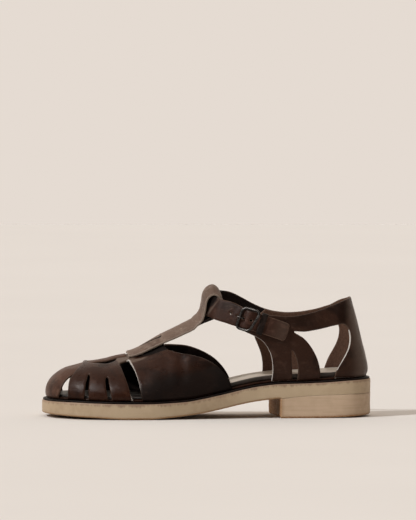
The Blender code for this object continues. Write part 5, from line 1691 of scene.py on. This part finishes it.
CAGE_LEATHER = leather_material(
    "waxed_cage_leather", base=(0.0300, 0.0100, 0.0048), dark=(0.0095, 0.0028, 0.0012),
    light=(0.052, 0.0215, 0.0122), worn=(0.11, 0.070, 0.05), rough=0.27, scuffed=0.3, flesh=DYED_FLESH,
)
HEEL_LEATHER = leather_material(
    "waxed_heel_leather", base=(0.0350, 0.0150, 0.0090), dark=(0.0100, 0.0040, 0.0022),
    light=(0.064, 0.033, 0.0225), worn=(0.13, 0.09, 0.068), rough=0.36, scuffed=0.35,
)
# painted sheen: colours paler than the cage's stand in for the light the toe strap catches; its scuffs are
# wear
TOE_LEATHER = leather_material(
    "rubbed_toe_leather_painted_sheen", base=(0.074, 0.033, 0.0205), dark=(0.024, 0.0095, 0.0052),
    light=(0.125, 0.066, 0.044), worn=(0.19, 0.125, 0.09), clouds=0.9, scuffed=0.6, flesh=DYED_FLESH,
)
# painted sheen: the T-bar's pale colours stand in for the sheen on its upward faces; its scuffs and edge
# wear are wear
TBAR_LEATHER = leather_material(
    "worn_t_bar_leather_painted_sheen", base=(0.165, 0.113, 0.086), dark=(0.080, 0.048, 0.033),
    light=(0.255, 0.197, 0.162), worn=(0.36, 0.29, 0.24),
    rough=0.44, scuffed=0.8, edge=0.85, width=0.9, flesh=DYED_FLESH,
)
STRAP_LEATHER = leather_material(
    "worn_strap_leather", base=(0.040, 0.0160, 0.0098), dark=(0.0145, 0.0052, 0.0030),
    light=(0.084, 0.040, 0.0275), worn=(0.17, 0.11, 0.08),
    rough=0.42, clouds=0.85, scuffed=0.4, edge=0.75, flesh=DYED_FLESH,
)
# painted shadow: the keeper's colours are darker than the strap's, standing in for the buckle's shadow over
# it
KEEPER_LEATHER = leather_material(
    "dark_keeper_leather", base=(0.010, 0.0055, 0.0040), dark=(0.004, 0.0022, 0.0018),
    light=(0.022, 0.013, 0.010), worn=(0.045, 0.03, 0.022), scuffed=0.2, edge=0.3, flesh=DYED_FLESH,
)
RUNNER_CREPE = crepe_material("pale_crepe", (0.57, 0.45, 0.305), (0.47, 0.35, 0.225), 0.12, 0.8)
HEEL_CREPE = crepe_material("stacked_crepe", (0.64, 0.485, 0.345), (0.52, 0.38, 0.255), 0.45, 0.0)
GUNMETAL = gunmetal_material()
dress((cage,), ("upper_front",), CAGE_LEATHER)
dress((margin,), ("upper_front", "upper_back"), CAGE_LEATHER)
dress((heel_part,), ("upper_back",), HEEL_LEATHER)
dress((toe_strap,), ("upper_front",), TOE_LEATHER)
dress((t_bar,), ("t_bar",), TBAR_LEATHER)
THREAD = thread_material()
stitches = add_stitches("t_bar_stitches", STITCH_ROWS, THREAD)
dress((stitches,), ("t_bar",), THREAD)
dress((strap,), ("ankle_strap",), STRAP_LEATHER)
dress((keeper,), ("keeper",), KEEPER_LEATHER)
dress((runner,), ("outsole",), RUNNER_CREPE)
dress((heel,), ("heel_block",), HEEL_CREPE)
dress((mid,), ("midsole",), midsole_material())
dress((bed,), ("footbed",), footbed_material())
dress((buckle_wire, buckle_bar), ("buckle_frame",), GUNMETAL)
dress((buckle_pin,), ("buckle_prong",), GUNMETAL)


# ---------------------------------------------------------------- floor, light and camera
BACKDROP = (0.783, 0.708, 0.644)
FLOOR_TONES = ((0.772, 0.760, 0.742), (0.782, 0.770, 0.752))
STUDIO_TINT = (1.0, 0.87, 0.76)
STUDIO_FRONT, STUDIO_BACK, STUDIO_TOP = 0.06, 1.0, 0.75
KEY_ENERGY, KEY_ANGLE, KEY_TURN, KEY_RISE = 1.75, math.radians(3), math.radians(28), math.radians(43)
WINDOW_ENERGY, WINDOW_ANGLE, WINDOW_WAY = 3.2, math.radians(18), (-0.56, -0.44, 0.70)
CAMERA_AIM, CAMERA_DISTANCE, CAMERA_LENS = (0.00037, 0.00095, 0.13984), 6.0, 580
CAMERA_TURN, CAMERA_RISE, CAMERA_ROLL = math.radians(7.07), math.radians(2.75), math.radians(0.32)


def add_floor():
    mesh = bpy.data.meshes.new("floor")
    mesh.from_pydata([(-4, -4, 0), (4, -4, 0), (4, 4, 0), (-4, 4, 0)], [], [(0, 1, 2, 3)])
    mesh.materials.append(floor_material())
    add_object("floor", mesh)


def add_studio():
    """A pale backdrop for the camera, and soft light: strong from behind and above, weak from the lens."""
    world = bpy.data.worlds.new("studio")
    bpy.context.scene.world = world
    world.use_nodes = True
    make = Nodes(world.node_tree)
    way = make.add("SeparateXYZ")
    make.feed(way.inputs[0], make.add("TexCoord").outputs["Generated"])
    behind = make.step(way.outputs["Y"], -0.5, 0.9, STUDIO_FRONT, STUDIO_BACK)
    above = make.step(way.outputs["Z"], 0.25, 0.95, 0.0, STUDIO_TOP)
    glow = make.math("MAXIMUM", behind, above)
    soft, plain, blend = make.add("Background"), make.add("Background"), make.add("MixShader")
    make.fill(soft, {"Color": STUDIO_TINT, "Strength": glow})
    make.feed(plain.inputs["Color"], BACKDROP)
    seen = make.add("LightPath").outputs["Is Camera Ray"]
    for i, source in enumerate((seen, soft.outputs[0], plain.outputs[0])):
        make.feed(blend.inputs[i], source)
    make.feed(world.node_tree.nodes["World Output"].inputs["Surface"], blend.outputs[0])


def aimed(name, data, toward):
    """A light or camera whose back is turned the given way."""
    piece = add_object(name, data)
    piece.rotation_mode = "QUATERNION"
    piece.rotation_quaternion = toward.to_track_quat("Z", "Y")
    return piece


def add_sun(name, energy, angle, toward):
    data = bpy.data.lights.new(name, "SUN")
    data.energy = energy
    data.angle = angle
    return aimed(name, data, toward)


def add_lights():
    """A hard-edged key ahead of the toe, and a tall window above the lens that only gloss shows."""
    across, ahead = math.cos(KEY_RISE) * math.sin(KEY_TURN), math.cos(KEY_RISE) * math.cos(KEY_TURN)
    add_sun("key", KEY_ENERGY, KEY_ANGLE, Vector((-ahead, -across, math.sin(KEY_RISE))))
    window = add_sun("window", WINDOW_ENERGY, WINDOW_ANGLE, Vector(WINDOW_WAY))
    window.data.color = (1.0, 0.95, 0.92)
    window.visible_diffuse = False


def add_camera():
    """A long lens from the lateral side, a little ahead of square and just above the shoe."""
    flat = math.cos(CAMERA_RISE)
    back = Vector((-math.sin(CAMERA_TURN) * flat, -math.cos(CAMERA_TURN) * flat, math.sin(CAMERA_RISE)))
    data = bpy.data.cameras.new("camera")
    data.sensor_fit = "HORIZONTAL"
    data.sensor_width = 36
    data.lens = CAMERA_LENS
    data.clip_start = 0.5
    data.clip_end = 40
    piece = aimed("camera", data, back)
    piece.location = Vector(CAMERA_AIM) + back * CAMERA_DISTANCE
    piece.rotation_quaternion = piece.rotation_quaternion @ Quaternion((0, 0, 1), CAMERA_ROLL)
    bpy.context.scene.camera = piece


add_floor()
add_studio()
add_lights()
add_camera()
bpy.context.scene.view_settings.view_transform = "Standard"
